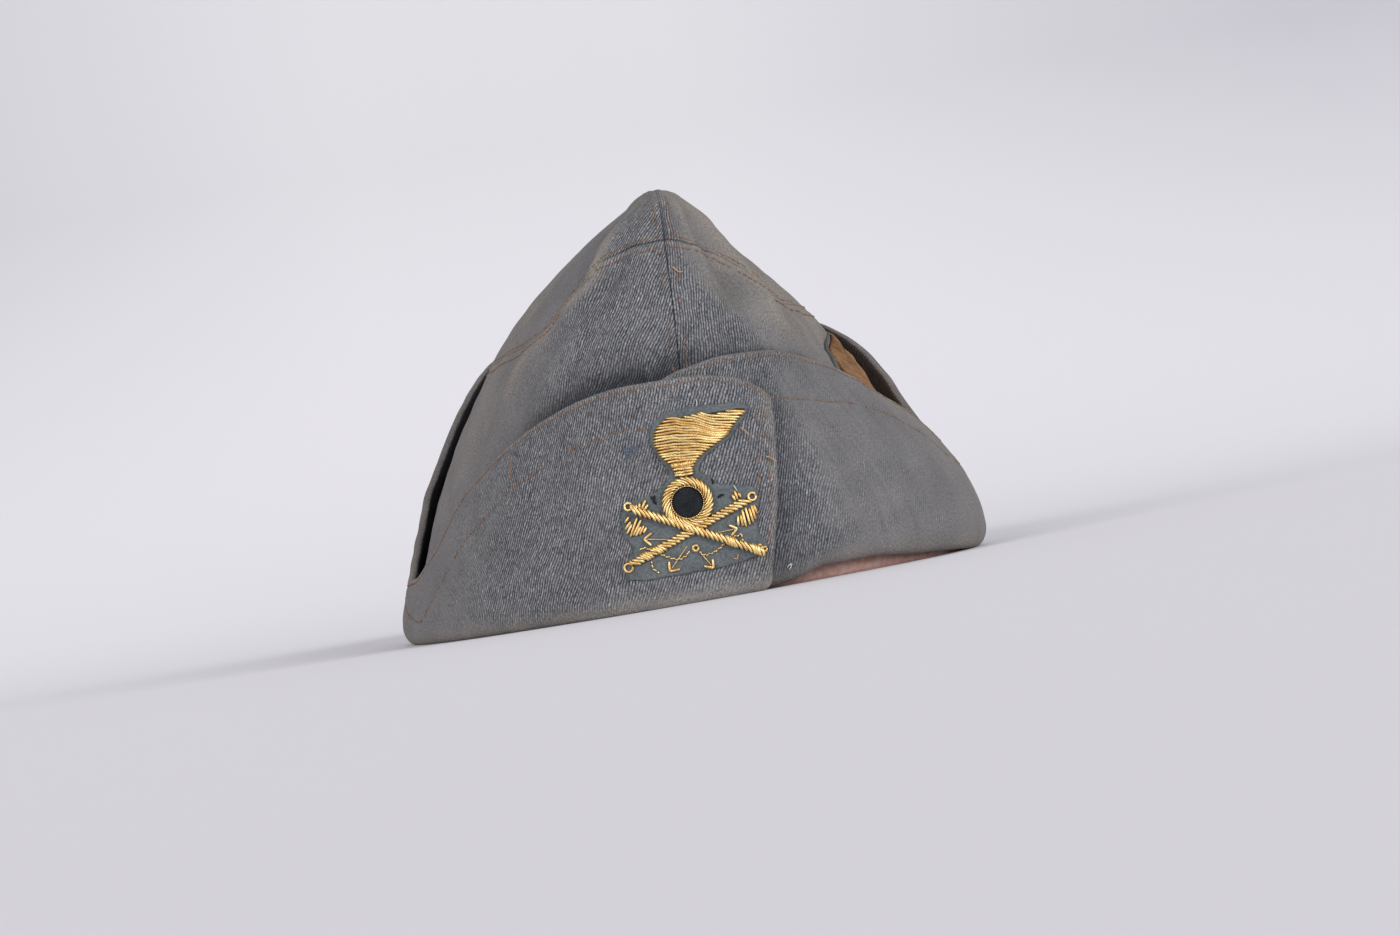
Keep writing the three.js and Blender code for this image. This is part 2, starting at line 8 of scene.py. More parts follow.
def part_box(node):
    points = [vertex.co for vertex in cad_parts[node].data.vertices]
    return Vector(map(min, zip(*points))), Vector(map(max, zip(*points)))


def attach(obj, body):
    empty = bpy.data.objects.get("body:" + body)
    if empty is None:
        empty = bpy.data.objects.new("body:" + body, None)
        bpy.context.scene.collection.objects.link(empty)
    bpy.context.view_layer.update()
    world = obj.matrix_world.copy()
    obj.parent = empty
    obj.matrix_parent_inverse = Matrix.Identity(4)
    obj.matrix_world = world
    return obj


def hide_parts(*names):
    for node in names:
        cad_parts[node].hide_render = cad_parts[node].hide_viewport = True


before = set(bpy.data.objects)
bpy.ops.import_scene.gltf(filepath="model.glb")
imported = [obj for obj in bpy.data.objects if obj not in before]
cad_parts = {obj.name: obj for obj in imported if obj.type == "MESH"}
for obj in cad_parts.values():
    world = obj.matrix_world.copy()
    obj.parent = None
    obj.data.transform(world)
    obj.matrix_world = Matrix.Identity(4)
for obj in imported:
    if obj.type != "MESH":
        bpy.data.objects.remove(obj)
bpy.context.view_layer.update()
print("frame loaded:", len(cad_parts), "nodes")

metresPerMm = 0.001

# the cap's form, by height: how far its face stands from the middle, and its slump to the left
crownForm = {
    "height": [0, 10, 20, 42, 57, 68, 78, 87, 96, 104, 110, 117, 121, 123.5, 124.5],
    "right": [90, 88, 84.6, 76, 67.5, 61.5, 56, 49.5, 41.5, 32.8, 25.5, 14.8, 8.2, 5.4, 0],
    "left": [87.5, 87, 85, 71, 59.5, 52.5, 48, 41.3, 33, 24.6, 18.8, 13.6, 10.6, 6.5, 0],
    "front": [103, 102.8, 102.5, 101, 99, 97.5, 95, 92, 89, 85.5, 82, 75.5, 67, 46, 14],
    "back": [103, 102.8, 102.5, 101, 99, 97, 94.5, 90, 85, 79, 73, 63, 50, 30, 8],
    "lean": [0, 0, 0, 0, 0, 0.4, 1, 1.7, 2.4, 3, 3.5, 4, 4.2, 4, 3.6],
    "square": [2.2, 2.2, 2.2, 2.2, 2.2, 2.2, 2.2, 2.2, 2.2, 2.2, 2.2, 2.1, 2, 2, 2],
}
# soft ridges and dents: where, how far they spread, and how far they push the cloth out
softForms = {
    "angle": [-30, -34, -44, 35, 38, 27, -16, -62, 58, 120, -128, 88],
    "height": [106, 91, 78, 106, 86, 88, 88, 96, 84, 98, 92, 64],
    "across": [6, 6, 7, 6, 5, 5, 8, 14, 14, 18, 16, 15],
    "up": [11, 9, 8, 12, 10, 7, 14, 10, 10, 12, 12, 12],
    "push": [1.3, 1.4, 1.2, 1.3, 1.6, -2.4, -1, -1.6, -1.8, -2, -2, 5],
}
# the seam under the top panels, by degrees from the front
topSeam = {
    "angle": [0, 17, 27, 31, 36, 42, 54, 90, 125, 155, 180],
    "right": [105, 104.8, 102.6, 98.5, 91.5, 86.5, 83, 81, 83, 90, 94],
    "left": [105, 102.6, 99.6, 95.5, 90, 86, 83, 81, 83, 90, 94],
}
# the turn-up's top edge, by degrees from the front towards its own side
turnUpTop = {
    "angle": [-18, -16.5, -13.5, -9, 0, 12, 24, 35, 46, 55,
              65, 75, 86, 95, 104, 112, 122, 140, 180],
    "right": [53.5, 57, 60, 62, 63.8, 64, 62.4, 58.6, 52, 43,
              28, 20.5, 20, 34, 57, 74, 87, 93, 93.5],
    "left": [55.5, 56.5, 58.2, 60.8, 66.2, 68.2, 68, 65.6, 62, 58,
             52.6, 45.6, 36, 38, 57, 72.5, 83, 91, 93.5],
}
# how far the turn-up's inner face stands off the crown
turnUpStandOff = {
    "height": [0, 15, 28, 45, 60, 70, 84, 94],
    "front": [2.2, 2.4, 2.2, 1.8, 1.2, 1.2, 1.2, 1.2],
    "right": [2.2, 2.2, 3, 5, 7.2, 8.8, 9.2, 10],
    "left": [2.2, 2.8, 4.4, 11, 18, 19.8, 16, 14],
    "nape": [2.2, 2.2, 2.2, 2.6, 3.2, 3.6, 4.4, 5.5],
}
# how far the left turn-up's fold is lifted, by degrees from the front
liftedFold = {
    "angle": [-20, 6, 13, 19, 28, 41, 54, 72, 180],
    "rise": [0, 0.4, 1.8, 4, 4, 2.4, 1.2, 0, 0],
}
# walls, gaps, the fold at the foot, and where the turn-ups part from the crown and lap
make = {
    "crownWall": 2,
    "turnUpWall": 2.4,
    "turnUpGap": 1.2,
    "foldDepth": 1.5,
    "foldRadius": 4.2,
    "foldUp": 6.4,
    "lapFoldRadius": 1.6,
    "lipReach": 1.7,
    "footGap": 0.6,
    "seamHalf": 0.02,
    "turnUpSeamHalf": 0.03,
    "earFrom": 66,
    "earTo": 104,
    "napeFrom": 118,
    "napeTo": 165,
    "lapEndAtFoot": 7.4,
    "lapEndAtTop": 18,
    "lapEndBend": 1.3,
    "hiddenEnd": 9,
    "lapRiseFrom": 32,
    "lapRiseTo": 10,
    "crest": 124.5,
    "levelOff": 121,  # above this height the way outwards stays the same
}

# the middle of the rim in the frame, read from the sweatband's box
bandLow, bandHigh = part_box("sweatband")
bandShift = 1.25  # how far the middle of that box lies to the wearer's right of the rim's middle
rimMiddle = np.array([(bandLow.x + bandHigh.x) / 2, (bandLow.y + bandHigh.y) / 2, 0]) / metresPerMm
rimMiddle[0] += bandShift

# about how many millimetres a degree spans on the cloth
mmPerDegree = {"crown": 1.6, "edge": 1.65, "rim": 1.7, "lapEnd": 1.72}


def sideWord(side):
    return "left" if side > 0 else "right"


# a table's value by smooth steps that never overshoot, and its end values beyond its ends
def tableValue(table, key, at, column):
    xs = np.array(table[key], float)
    ys = np.array(table[column], float)
    at = np.clip(np.asarray(at, float), xs[0], xs[-1])
    widths = np.diff(xs)
    slopes = np.diff(ys) / widths
    tangents = np.zeros(len(xs))
    tangents[0] = slopes[0]
    tangents[-1] = slopes[-1]
    for k in range(1, len(xs) - 1):
        before, after = slopes[k - 1], slopes[k]
        if before * after > 0:
            tangents[k] = 2 * before * after / (before + after)
    i = np.clip(np.searchsorted(xs, at) - 1, 0, len(xs) - 2)
    width = widths[i]
    t = (at - xs[i]) / width
    rest = 1 - t
    return (
        ys[i] * (1 + 2 * t) * rest * rest
        + tangents[i] * width * t * rest * rest
        + ys[i + 1] * t * t * (3 - 2 * t)
        - tangents[i + 1] * width * t * t * rest
    )


def smoothStep(start, end, at):
    t = np.clip((np.asarray(at, float) - start) / (end - start), 0, 1)
    return t * t * (3 - 2 * t)


def hump(at, middle, width):
    return np.exp(-(((at - middle) / width) ** 2))


def mix(a, b, share):
    return a + (b - a) * share


def unit(vectors):
    return vectors / np.maximum(np.linalg.norm(vectors, axis=-1, keepdims=True), 1e-12)


# smooth waves of many directions, about -1 to 1, size mm across
def softNoise(x, y, size, seed):
    draw = np.random.default_rng(seed)
    total = 0
    for _ in range(8):
        turn, phase = draw.uniform(0, 2 * math.pi, 2)
        pace = 2 * math.pi * draw.uniform(0.5, 1.6) / size
        total = total + np.sin((x * math.cos(turn) + y * math.sin(turn)) * pace + phase)
    return total / 3


# swells and dents of cloth from a table of their places, sizes and pushes
def swells(table, angle, height, side=0):
    total = 0
    for a, h, across, up, push in zip(*table.values()):
        if a * side >= 0:
            total = total + push * np.exp(-(((angle - a) / across) ** 2) - ((height - h) / up) ** 2)
    return total


def formValue(column, height):
    return tableValue(crownForm, "height", height, column)


def leanAt(height):
    return formValue("lean", height)


# a point of the crown's smooth form, by degrees from the front towards the wearer's left
def formPoint(angle, height):
    angle, height = np.broadcast_arrays(np.asarray(angle, float), np.asarray(height, float))
    power = 2 / formValue("square", height)
    across = np.sin(np.radians(angle))
    along = -np.cos(np.radians(angle))
    reach = np.where(along < 0, formValue("front", height), formValue("back", height))
    width = np.where(across < 0, formValue("right", height), formValue("left", height))
    x = leanAt(height) + width * np.sign(across) * np.abs(across) ** power
    y = reach * np.sign(along) * np.abs(along) ** power
    return np.stack([x, y, height], -1)


# level, and square to the form
def outwardAt(angle, height):
    below = np.minimum(height, make["levelOff"])
    before = formPoint(np.asarray(angle) - 0.5, below)
    after = formPoint(np.asarray(angle) + 0.5, below)
    step = after - before
    return unit(np.stack([step[..., 1], -step[..., 0], 0 * step[..., 0]], -1))


def topSeamAt(angle, side):
    return tableValue(topSeam, "angle", np.abs(angle), sideWord(side))


def turnUpTopAt(angle, side):
    return tableValue(turnUpTop, "angle", np.asarray(angle) * side, sideWord(side))


# how much a row that runs along the turn-up's top edge is lengthened by the edge's slope
def edgeStretch(angle, side):
    step = turnUpTopAt(angle + 0.5 * side, side) - turnUpTopAt(angle - 0.5 * side, side)
    return np.sqrt(1 + (step / mmPerDegree["edge"]) ** 2)


def foldFootAt(angle, side):
    return tableValue(liftedFold, "angle", angle, "rise") if side > 0 else 0 * np.asarray(angle, float)


# 1 where the right turn-up lies over the left one's hidden end
def lapAt(angle, side):
    return smoothStep(-make["lapRiseFrom"], -make["lapRiseTo"], angle) if side < 0 else 0


# how far a turn-up's inner face stands off the crown
def standOffAt(angle, height, side):
    def off(name):
        return tableValue(turnUpStandOff, "height", height, name)

    fromFront = np.abs(angle)
    gape = np.where(np.asarray(angle) < 0, off("right"), off("left"))
    towardsEar = mix(off("front"), gape, smoothStep(make["earFrom"], make["earTo"], fromFront))
    result = mix(towardsEar, off("nape"), smoothStep(make["napeFrom"], make["napeTo"], fromFront))
    return result + (make["turnUpWall"] + make["turnUpGap"]) * lapAt(angle, side)


# seams, rows of stitches, dents and drape of the cloth's faces
cloth = {
    "seamDip": 0.6,
    "seamWidth": 0.45,
    "puff": 0.28,
    "rowDip": 0.24,
    "rowWidth": 0.38,
    "rowBelowTopSeam": 2.5,
    "rowAboveTopSeam": 1.5,
    "rowBesideSlit": 2.7,
    "crownSlope": 1.1,  # lengths along the cloth against heights or distances from the slit
    "topSlope": 1.3,
    "slitSlope": 1.2,
    "stripWidth": 2.7,
    "stripRise": 0.32,
    "stripRow": 0.6,
    "drape": 0.6,
    "drapeSize": 30,
    "ripple": 0.12,
    "rippleSize": 9,
    "hollowDeep": 4.5,
    "hollowUp": 7,
    "ridge": 2.2,
    "ridgeWidth": 4.8,
    "troughs": [(8.5, 1.3, 4.5), (21, 0.6, 6)],
}
# the crease from each front corner of the top down to the turn-up, in degrees from the front
cornerCrease = {
    "z": [58, 70, 78, 87, 93, 98, 118],
    "right": [62, 52, 46, 39, 34, 30, 29],
    "left": [50, 42, 37, 36, 35, 34, 34],
}


# the crown's soft forms, drape and ripples
def drapeAt(angle, height):
    across = np.asarray(angle) * mmPerDegree["crown"]
    long = softNoise(across, height, cloth["drapeSize"], 3)
    short = softNoise(across, height, cloth["rippleSize"], 4)
    return swells(softForms, angle, height) + (cloth["drape"] * long + cloth["ripple"] * short)


def creaseAt(height, side):
    wave = 1.6 * np.sin(height / 5.5) if side < 0 else 1.2 * np.sin(height / 6.5 + 1)
    return tableValue(cornerCrease, "z", height, sideWord(side)) + wave


# a ridge along the crease, with shallow troughs between it and the front seam
def cornerPush(angle, height, side):
    crease = creaseAt(height, side)
    towardsFront = crease - np.abs(angle)
    push = cloth["ridge"] * hump(towardsFront, 0, cloth["ridgeWidth"])
    for away, deep, wide in cloth["troughs"]:
        push = push - deep * hump(towardsFront, away, wide)
    return push * smoothStep(60, 76, height) * (1 - smoothStep(108, 120, height))


# the top edge of whichever turn-up covers the crown's face
def coverTopAt(angle, side):
    own = turnUpTopAt(angle, side)
    if side > 0:
        return own
    lapped = smoothStep(-make["hiddenEnd"], -make["hiddenEnd"] + 1.5, angle)
    return mix(own, turnUpTopAt(angle, 1), lapped)


# 1 over the crown's front, and less towards its left
def frontal(angle):
    fromRight = smoothStep(-62, -30, angle)
    eased = 1 - 0.75 * smoothStep(-6, 14, angle)
    return fromRight * eased * (1 - smoothStep(22, 36, angle))


# the cloth sinks in just above the turn-up's edge at the front
def hollowAt(angle, height, side):
    above = height - coverTopAt(angle, side)
    return cloth["hollowDeep"] * frontal(angle) * hump(above, -1, cloth["hollowUp"])


# the dip under a row of stitches
def rowDip(distance, row):
    return cloth["rowDip"] * hump(distance, row, cloth["rowWidth"])


# a dip at the seam, a puff beside it and a dip under the row of stitches
def seamProfile(distance, row):
    return (
        -cloth["seamDip"] * hump(distance, 0, cloth["seamWidth"])
        + cloth["puff"] * hump(distance, row * 0.52, row * 0.34)
        - rowDip(distance, row)
    )


# the top seam lies flatter towards the sides
def seamShare(angle):
    return 1 - 0.75 * smoothStep(26, 42, np.abs(angle))


# the outer face of a side panel: the left one has a strip along the front seam
def crownFace(angle, height, side):
    flat = formPoint(angle, height)
    fromSeam = np.abs(flat[..., 0] - leanAt(height))
    below = topSeamAt(angle, side) - height
    push = drapeAt(angle, height)
    push = push + cornerPush(angle, height, side) - hollowAt(angle, height, side)
    push = push + seamProfile(below * cloth["crownSlope"], cloth["rowBelowTopSeam"]) * seamShare(angle)
    middleSeam = cloth["seamDip"] * hump(fromSeam, 0, cloth["seamWidth"])
    push = push - middleSeam * mix(0.3, 1, smoothStep(84, 98, height))
    if side > 0:
        strip = cloth["stripWidth"]
        push = push + cloth["stripRise"] * (1 - smoothStep(strip - 0.35, strip + 0.25, fromSeam))
        push = push - 0.12 * hump(fromSeam, strip - cloth["stripRow"], 0.3)
    else:
        push = push + 0.2 * hump(fromSeam, 1.6, 1.1)
    return flat + outwardAt(angle, height) * push[..., None]


# the outer face of a top panel, whose slit puffs up instead of out where the crest is level
def topFace(angle, height, side):
    flat = formPoint(angle, height)
    fromSlit = np.abs(flat[..., 0] - leanAt(height))
    above = height - topSeamAt(angle, side)
    settle = smoothStep(make["crest"], make["crest"] - 12, height)
    push = drapeAt(angle, height) * settle + cornerPush(angle, height, side)
    push = push + seamProfile(above * cloth["topSlope"], cloth["rowAboveTopSeam"]) * seamShare(angle)
    point = flat + outwardAt(angle, height) * push[..., None]
    slit = seamProfile(fromSlit * cloth["slitSlope"], cloth["rowBesideSlit"])
    steep = smoothStep(make["crest"] - 1, make["crest"] - 8, height)
    point = point + outwardAt(angle, height) * (slit * steep)[..., None]
    point[..., 2] += slit * (1 - steep) * 0.8
    return point


def toFrame(points):
    return (np.asarray(points) + rimMiddle) * metresPerMm


def meshObject(name, points, faces, attributes, material, nodes):
    mesh = bpy.data.meshes.new(name)
    mesh.from_pydata(toFrame(points).tolist(), [], faces)
    mesh.validate()
    for key, values in attributes.items():
        kind = "FLOAT" if values.ndim == 1 else "FLOAT_VECTOR"
        layer = mesh.attributes.new(key, kind, "POINT")
        layer.data.foreach_set("value" if kind == "FLOAT" else "vector", values.astype(np.float32).ravel())
    mesh.polygons.foreach_set("use_smooth", [True] * len(mesh.polygons))
    mesh.materials.append(material)
    made = bpy.data.objects.new(name, mesh)
    bpy.context.scene.collection.objects.link(made)
    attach(made, "root")
    if nodes:
        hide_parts(*nodes)
    print("made", name, len(mesh.polygons), "faces")


# the faces of a grid of points, which may close on itself either way
def gridFaces(rows, columns, start=0, flip=False, closedRows=False, closedColumns=False):
    row = np.arange(rows if closedRows else rows - 1)[:, None]
    column = np.arange(columns if closedColumns else columns - 1)[None, :]
    nextRow, nextColumn = (row + 1) % rows, (column + 1) % columns
    corners = [(row, column), (row, nextColumn), (nextRow, nextColumn), (nextRow, column)]
    if flip:
        corners.reverse()
    return (np.stack([r * columns + c for r, c in corners], -1).reshape(-1, 4) + start).tolist()


def gridNormals(points):
    across = np.gradient(points, axis=1)
    up = np.gradient(points, axis=0)
    return unit(np.cross(across, up))


# lengths along the cloth, across from the first column and up from the first row
def clothLengths(points):
    across = np.zeros(points.shape[:2])
    up = np.zeros(points.shape[:2])
    across[:, 1:] = np.cumsum(np.linalg.norm(np.diff(points, axis=1), axis=-1), axis=1)
    up[1:, :] = np.cumsum(np.linalg.norm(np.diff(points, axis=0), axis=-1), axis=0)
    return across, up


# where each point lies on its cloth, as the weave and grain take it
def layOf(across, up):
    return np.stack([across, up, 0 * up], -1).reshape(-1, 3)


# a closed shell from a grid of outer points and the points behind them
def shellMesh(outer, inner, side):
    rows, columns = outer.shape[:2]
    count = rows * columns
    flip = side < 0
    faces = gridFaces(rows, columns, 0, flip) + gridFaces(rows, columns, count, not flip)
    rim = (
        [r * columns for r in range(rows)]
        + [(rows - 1) * columns + c for c in range(1, columns)]
        + [r * columns + columns - 1 for r in range(rows - 2, -1, -1)]
        + [c for c in range(columns - 2, 0, -1)]
    )
    for a, b in zip(rim, rim[1:] + rim[:1]):
        quad = [a, b, b + count, a + count]
        faces.append(quad[::-1] if flip else quad)
    return np.concatenate([outer.reshape(-1, 3), inner.reshape(-1, 3)]), faces


# uneven patches, 0 to 1
def patches(angle, height, size, seed):
    return np.clip(0.5 + 0.5 * softNoise(np.asarray(angle) * mmPerDegree["crown"], height, size, seed), 0, 1)


# beyond the ears the ribs have stayed
def hiddenWear(angle):
    return 1 - 0.62 * smoothStep(78, 104, np.abs(angle))


# where the crown's left face begins to be worn, by degrees from the front
wornFrom = {"z": [62, 76, 84, 92, 108, 125], "left": [30, 24, 16, 9, 7, 12]}


# the cloth's wear and painted shade at each point: how far its ribs are worn off, how far it is rubbed light
# and brown, and how much painted shade darkens it under the turn-up's edge and just above it
def crownWearAndShade(angle, height, side):
    onCrease = hump(angle, side * creaseAt(height, side), 2.6) * smoothStep(62, 76, height)
    crest = smoothStep(110, 122, height)
    seam = hump(topSeamAt(angle, side) - height, 1.2, 0.9)
    if side > 0:
        beside = tableValue(wornFrom, "z", height, "left")
        worn = 0.84 * smoothStep(beside - 4, beside + 7, angle)
        brown = 0.5 * smoothStep(beside - 4, beside + 12, angle) * smoothStep(64, 80, height)
        brown = brown + 0.5 * smoothStep(-2, 5, angle - creaseAt(height, 1)) * (1 - smoothStep(70, 90, angle))
    else:
        worn = 0.84 * smoothStep(26, 50, -angle)
        brown = 0.5 * smoothStep(52, 70, -angle) * smoothStep(30, 60, height)
    worn = np.clip(worn * hiddenWear(angle) + 0.3 * crest + 0.6 * onCrease, 0, 1)
    worn = worn * (0.8 + 0.4 * patches(angle, height, 12, 21))
    rubbed = 0.75 * onCrease + 0.35 * crest + 0.3 * seam + brown * hiddenWear(angle)
    rubbed = rubbed * (0.6 + 0.6 * patches(angle, height, 11, 22))
    # painted shade: full on the cloth under the turn-up's top edge, a painted shadow over the front just
    # above it, and a little in the dent on the left front
    above = height - coverTopAt(angle, side)
    shadow = frontal(angle) * (0.6 * (1 - smoothStep(1, 7, above)) + 0.25 * (1 - smoothStep(4, 16, above)))
    if side > 0:
        shadow = shadow + 0.3 * hump(angle, 28, 5) * hump(height, 88, 7)
    deep = np.maximum(1 - smoothStep(-1.5, 3.5, above), shadow)
    return np.clip(np.stack([worn, rubbed, deep], -1), 0, 1)


# a panel's angles from the front to the back, closer together at the front, and its shares upwards
def panelGrid(side, rows, columns=250):
    share = np.linspace(0, 1, columns)
    angle = side * 180 * (0.5 * share + 0.5 * share**2)
    return np.repeat(angle[None, :], rows, 0), np.linspace(0, 1, rows)[:, None]


def crownPanel(side, material, nodes):
    angle, share = panelGrid(side, 84)
    foot = foldFootAt(angle, side) + make["foldDepth"] + make["footGap"]
    height = mix(foot, topSeamAt(angle, side) - make["seamHalf"], 1.55 * share - 0.55 * share**2)
    panelShell("crown_" + sideWord(side) + "_cloth", angle, height, crownFace, side, material, nodes)


def topPanel(side, material, nodes):
    angle, share = panelGrid(side, 64)
    seam = topSeamAt(angle, side) + make["seamHalf"]
    height = mix(seam, make["crest"], np.sin(np.radians(90 * (0.7 * share + 0.3 * share**2))))
    panelShell("top_" + sideWord(side) + "_cloth", angle, height, topFace, side, material, nodes)


# a panel of the crown's cloth, cut off at the middle seam
def panelShell(name, angle, height, face, side, material, nodes):
    outer = face(angle, height, side)
    plane = leanAt(height) + side * make["seamHalf"]
    outer[..., 0] = np.maximum(outer[..., 0] * side, plane * side) * side
    outer[:, [0, -1], 0] = plane[:, [0, -1]]
    normals = gridNormals(formPoint(angle, height)) * side
    normals[-3:] = normals[-4]  # the last rows lie too close together at the crest
    inner = outer - normals * make["crownWall"]
    inner[..., 0] = np.maximum(inner[..., 0] * side, plane * side) * side
    across, up = clothLengths(outer)
    lay = layOf(across * side, up)
    wearAndShade = crownWearAndShade(angle, height, side).reshape(-1, 3)
    points, faces = shellMesh(outer, inner, side)
    # the inner face is darkened all over as painted shade
    attributes = {
        "cloth": np.concatenate([lay, lay + [0, 0, 2]]),
        "wearAndShade": np.concatenate([wearAndShade, 0 * wearAndShade + [0, 0, 1]]),
    }
    meshObject(name, points, faces, attributes, material, nodes)


# the turn-ups' hems, drape and ends
hem = {
    "rowBelowEdge": 1.7,
    "besideLapEnd": [1.9, 5.2],
    "lapEndHeight": 60,
    "leanShare": 0.16,  # how much of the turn-up's length leans with its end
    "endRound": 1.3,
    "corner": 3.2,
    "cornerTurn": 1.9,
}
# points along a turn-up, and rows of them up its outer face, over its edge and on its inner face
flapGrid = {"stations": 400, "outer": 76, "round": 7, "inner": 26}
# the lower row of stitches, by degrees from the front
secondRow = {
    "angle": [-180, -110, -100, -72, -67, -63, -58.6, -53, -47, -41, -37, -31, -26, -20, -13, -7.8, 0,
              19, 26, 34, 44, 60, 80, 100, 110, 180],
    "right": [79, 58, 30, 8, 7, 11.3, 18.1, 27.4, 33.5, 39.3, 41.9, 45.6, 48.5, 50.1, 51.6, 50.5, 50.5,
              50.5, 50.5, 50.5, 50.5, 50.5, 50.5, 50.5, 50.5, 50.5],
    "left": [53, 53, 53, 53, 53, 53, 53, 53, 53, 53, 53, 53, 53, 53, 53, 53, 53,
             53.7, 52.5, 50.6, 48.9, 42, 26, 34, 58, 79],
}
# soft creases and swells of the turn-ups: where, how far they spread and how far they push out
drapeCreases = {
    "angle": [36, 43, 50, 61, 71, 80, -70, -112, 118, -150, 146],
    "height": [55, 50, 44, 36, 28, 17, 14, 60, 62, 66, 64],
    "across": [2.2, 2.4, 3.2, 3.8, 4, 2.4, 6, 9, 9, 8, 8],
    "up": [9, 12, 16, 18, 16, 13, 12, 22, 22, 26, 26],
    "push": [-0.55, -0.6, -0.85, -0.9, -0.8, -0.7, 0.6, -1.2, -1.2, 0.9, 0.9],
}


# the leaning end of the right turn-up
def lapEndAngle(height):
    share = np.clip(height / hem["lapEndHeight"], 0, 1) ** make["lapEndBend"]
    return mix(make["lapEndAtFoot"], make["lapEndAtTop"], share)


# the turn-up's soft drape, which calms near the lap and ends at the foot
def flapDrape(angle, height, side):
    across = np.asarray(angle) * mmPerDegree["rim"]
    total = 0.35 * softNoise(across, height, 36, 11 + side) + 0.1 * softNoise(across, height, 10, 13 + side)
    total = total + swells(drapeCreases, angle, height, side)
    awayFromLap = smoothStep(2, 26, np.abs(angle))
    return total * (0.35 + 0.65 * awayFromLap) * smoothStep(0, 8, height)


def fromFlapEdge(angle, height, side):
    return (turnUpTopAt(angle, side) - height) / edgeStretch(angle, side)


def fromLapEnd(angle, height):
    return formPoint(lapEndAngle(height), height)[..., 0] - formPoint(angle, height)[..., 0]


# how much the seams and rows shape the turn-up's outer face
def flapRelief(angle, height, side):
    edge = fromFlapEdge(angle, height, side)
    relief = 0.16 * hump(edge, 0.85, 0.5) - rowDip(edge, hem["rowBelowEdge"])
    fromSecond = (height - tableValue(secondRow, "angle", angle, sideWord(side))) * 0.85
    relief = relief - rowDip(fromSecond, 0) + 0.12 * hump(fromSecond, 1.6, 1)
    if side < 0:
        end = fromLapEnd(angle, height)
        for row in hem["besideLapEnd"]:
            relief = relief - rowDip(end, row)
        relief = relief + 0.14 * hump(end, 3.5, 0.8)
    return relief


# a point of the turn-up: depth 0 is its inner face and 1 is its outer face
def flapPoint(angle, height, side, depth=1, above=0, relief=True):
    off = standOffAt(angle, height, side) + flapDrape(angle, height, side)
    off = off + depth * make["turnUpWall"] + above
    if relief:
        off = off + flapRelief(angle, height, side) * np.clip(depth, 0, 1)
    return formPoint(angle, height) + outwardAt(angle, height) * np.asarray(off)[..., None]


# the turn-up's wear and painted shade at each point, given as for the crown's cloth
def flapWearAndShade(angle, height, side):
    edge = fromFlapEdge(angle, height, side)
    nearEdge = smoothStep(9, 3, edge)
    far = np.abs(angle)
    if side > 0:
        worn = 0.84 * smoothStep(17, 27, angle) * (1 - 0.8 * nearEdge * smoothStep(40, 24, angle))
        lap = 0
    else:
        worn = 0.76 * smoothStep(34, 62, far)
        lap = 0.5 * hump(fromLapEnd(angle, height), 0, 1.5)
    foot = hump(height - foldFootAt(angle, side), 0, 3.4)
    rubbed = 0.5 * hump(edge, 0, 1.4) + 0.7 * foot + lap + 0.3 * smoothStep(60, 90, far) * hiddenWear(angle)
    if side > 0:
        rubbed = rubbed + 0.35 * smoothStep(46, 72, angle) * hiddenWear(angle)
    worn = np.clip(worn * hiddenWear(angle) + 0.7 * foot, 0, 1)
    worn = worn * (0.8 + 0.4 * patches(angle, height, 12, 31))
    rubbed = rubbed * (0.65 + 0.5 * patches(angle, height, 13, 32))
    # painted shadow on the left turn-up beside the right one's lapped end, and darker in upright patches
    # towards the front
    dark = 0 * rubbed
    if side > 0:
        dark = 0.34 * hump(angle, lapEndAngle(height) + 1.5, 5) * smoothStep(2, 6, edge)
        dark = dark + 0.2 * smoothStep(60, 30, angle) * patches(angle * 3, height * 0.7, 7, 33) ** 2
    return np.clip(np.stack([worn, rubbed, dark], -1), 0, 1)


# how far the lapped end's foot corner is rounded off, in degrees
def cornerRound(above, angle, side):
    if side > 0:
        return 0 * above
    short = np.clip(1 - above / hem["corner"], 0, 1)
    return hem["cornerTurn"] * (1 - np.sqrt(1 - short**2)) * smoothStep(-6, 4, angle)


# the rows above the fold: up the outer face, over the top edge and down the inner face,
# each as its height and its depth as a share of the wall
def flapRows(foot, up, top):
    wall = make["turnUpWall"]
    shoulder = top - wall / 2
    level = 0 * top
    rows = [(mix(foot + up, shoulder, k), 1 + level) for k in np.linspace(0, 1, flapGrid["outer"])]
    for turn in np.linspace(0, math.pi, flapGrid["round"] + 2)[1:-1]:
        rows.append((shoulder + math.sin(turn) * wall / 2, 0.5 + 0.5 * math.cos(turn) + level))
    for k in np.linspace(1, 0, flapGrid["inner"]):
        rows.append((mix(foot + make["foldDepth"], shoulder, k), level))
    return [np.stack(column, 0) for column in zip(*rows)]


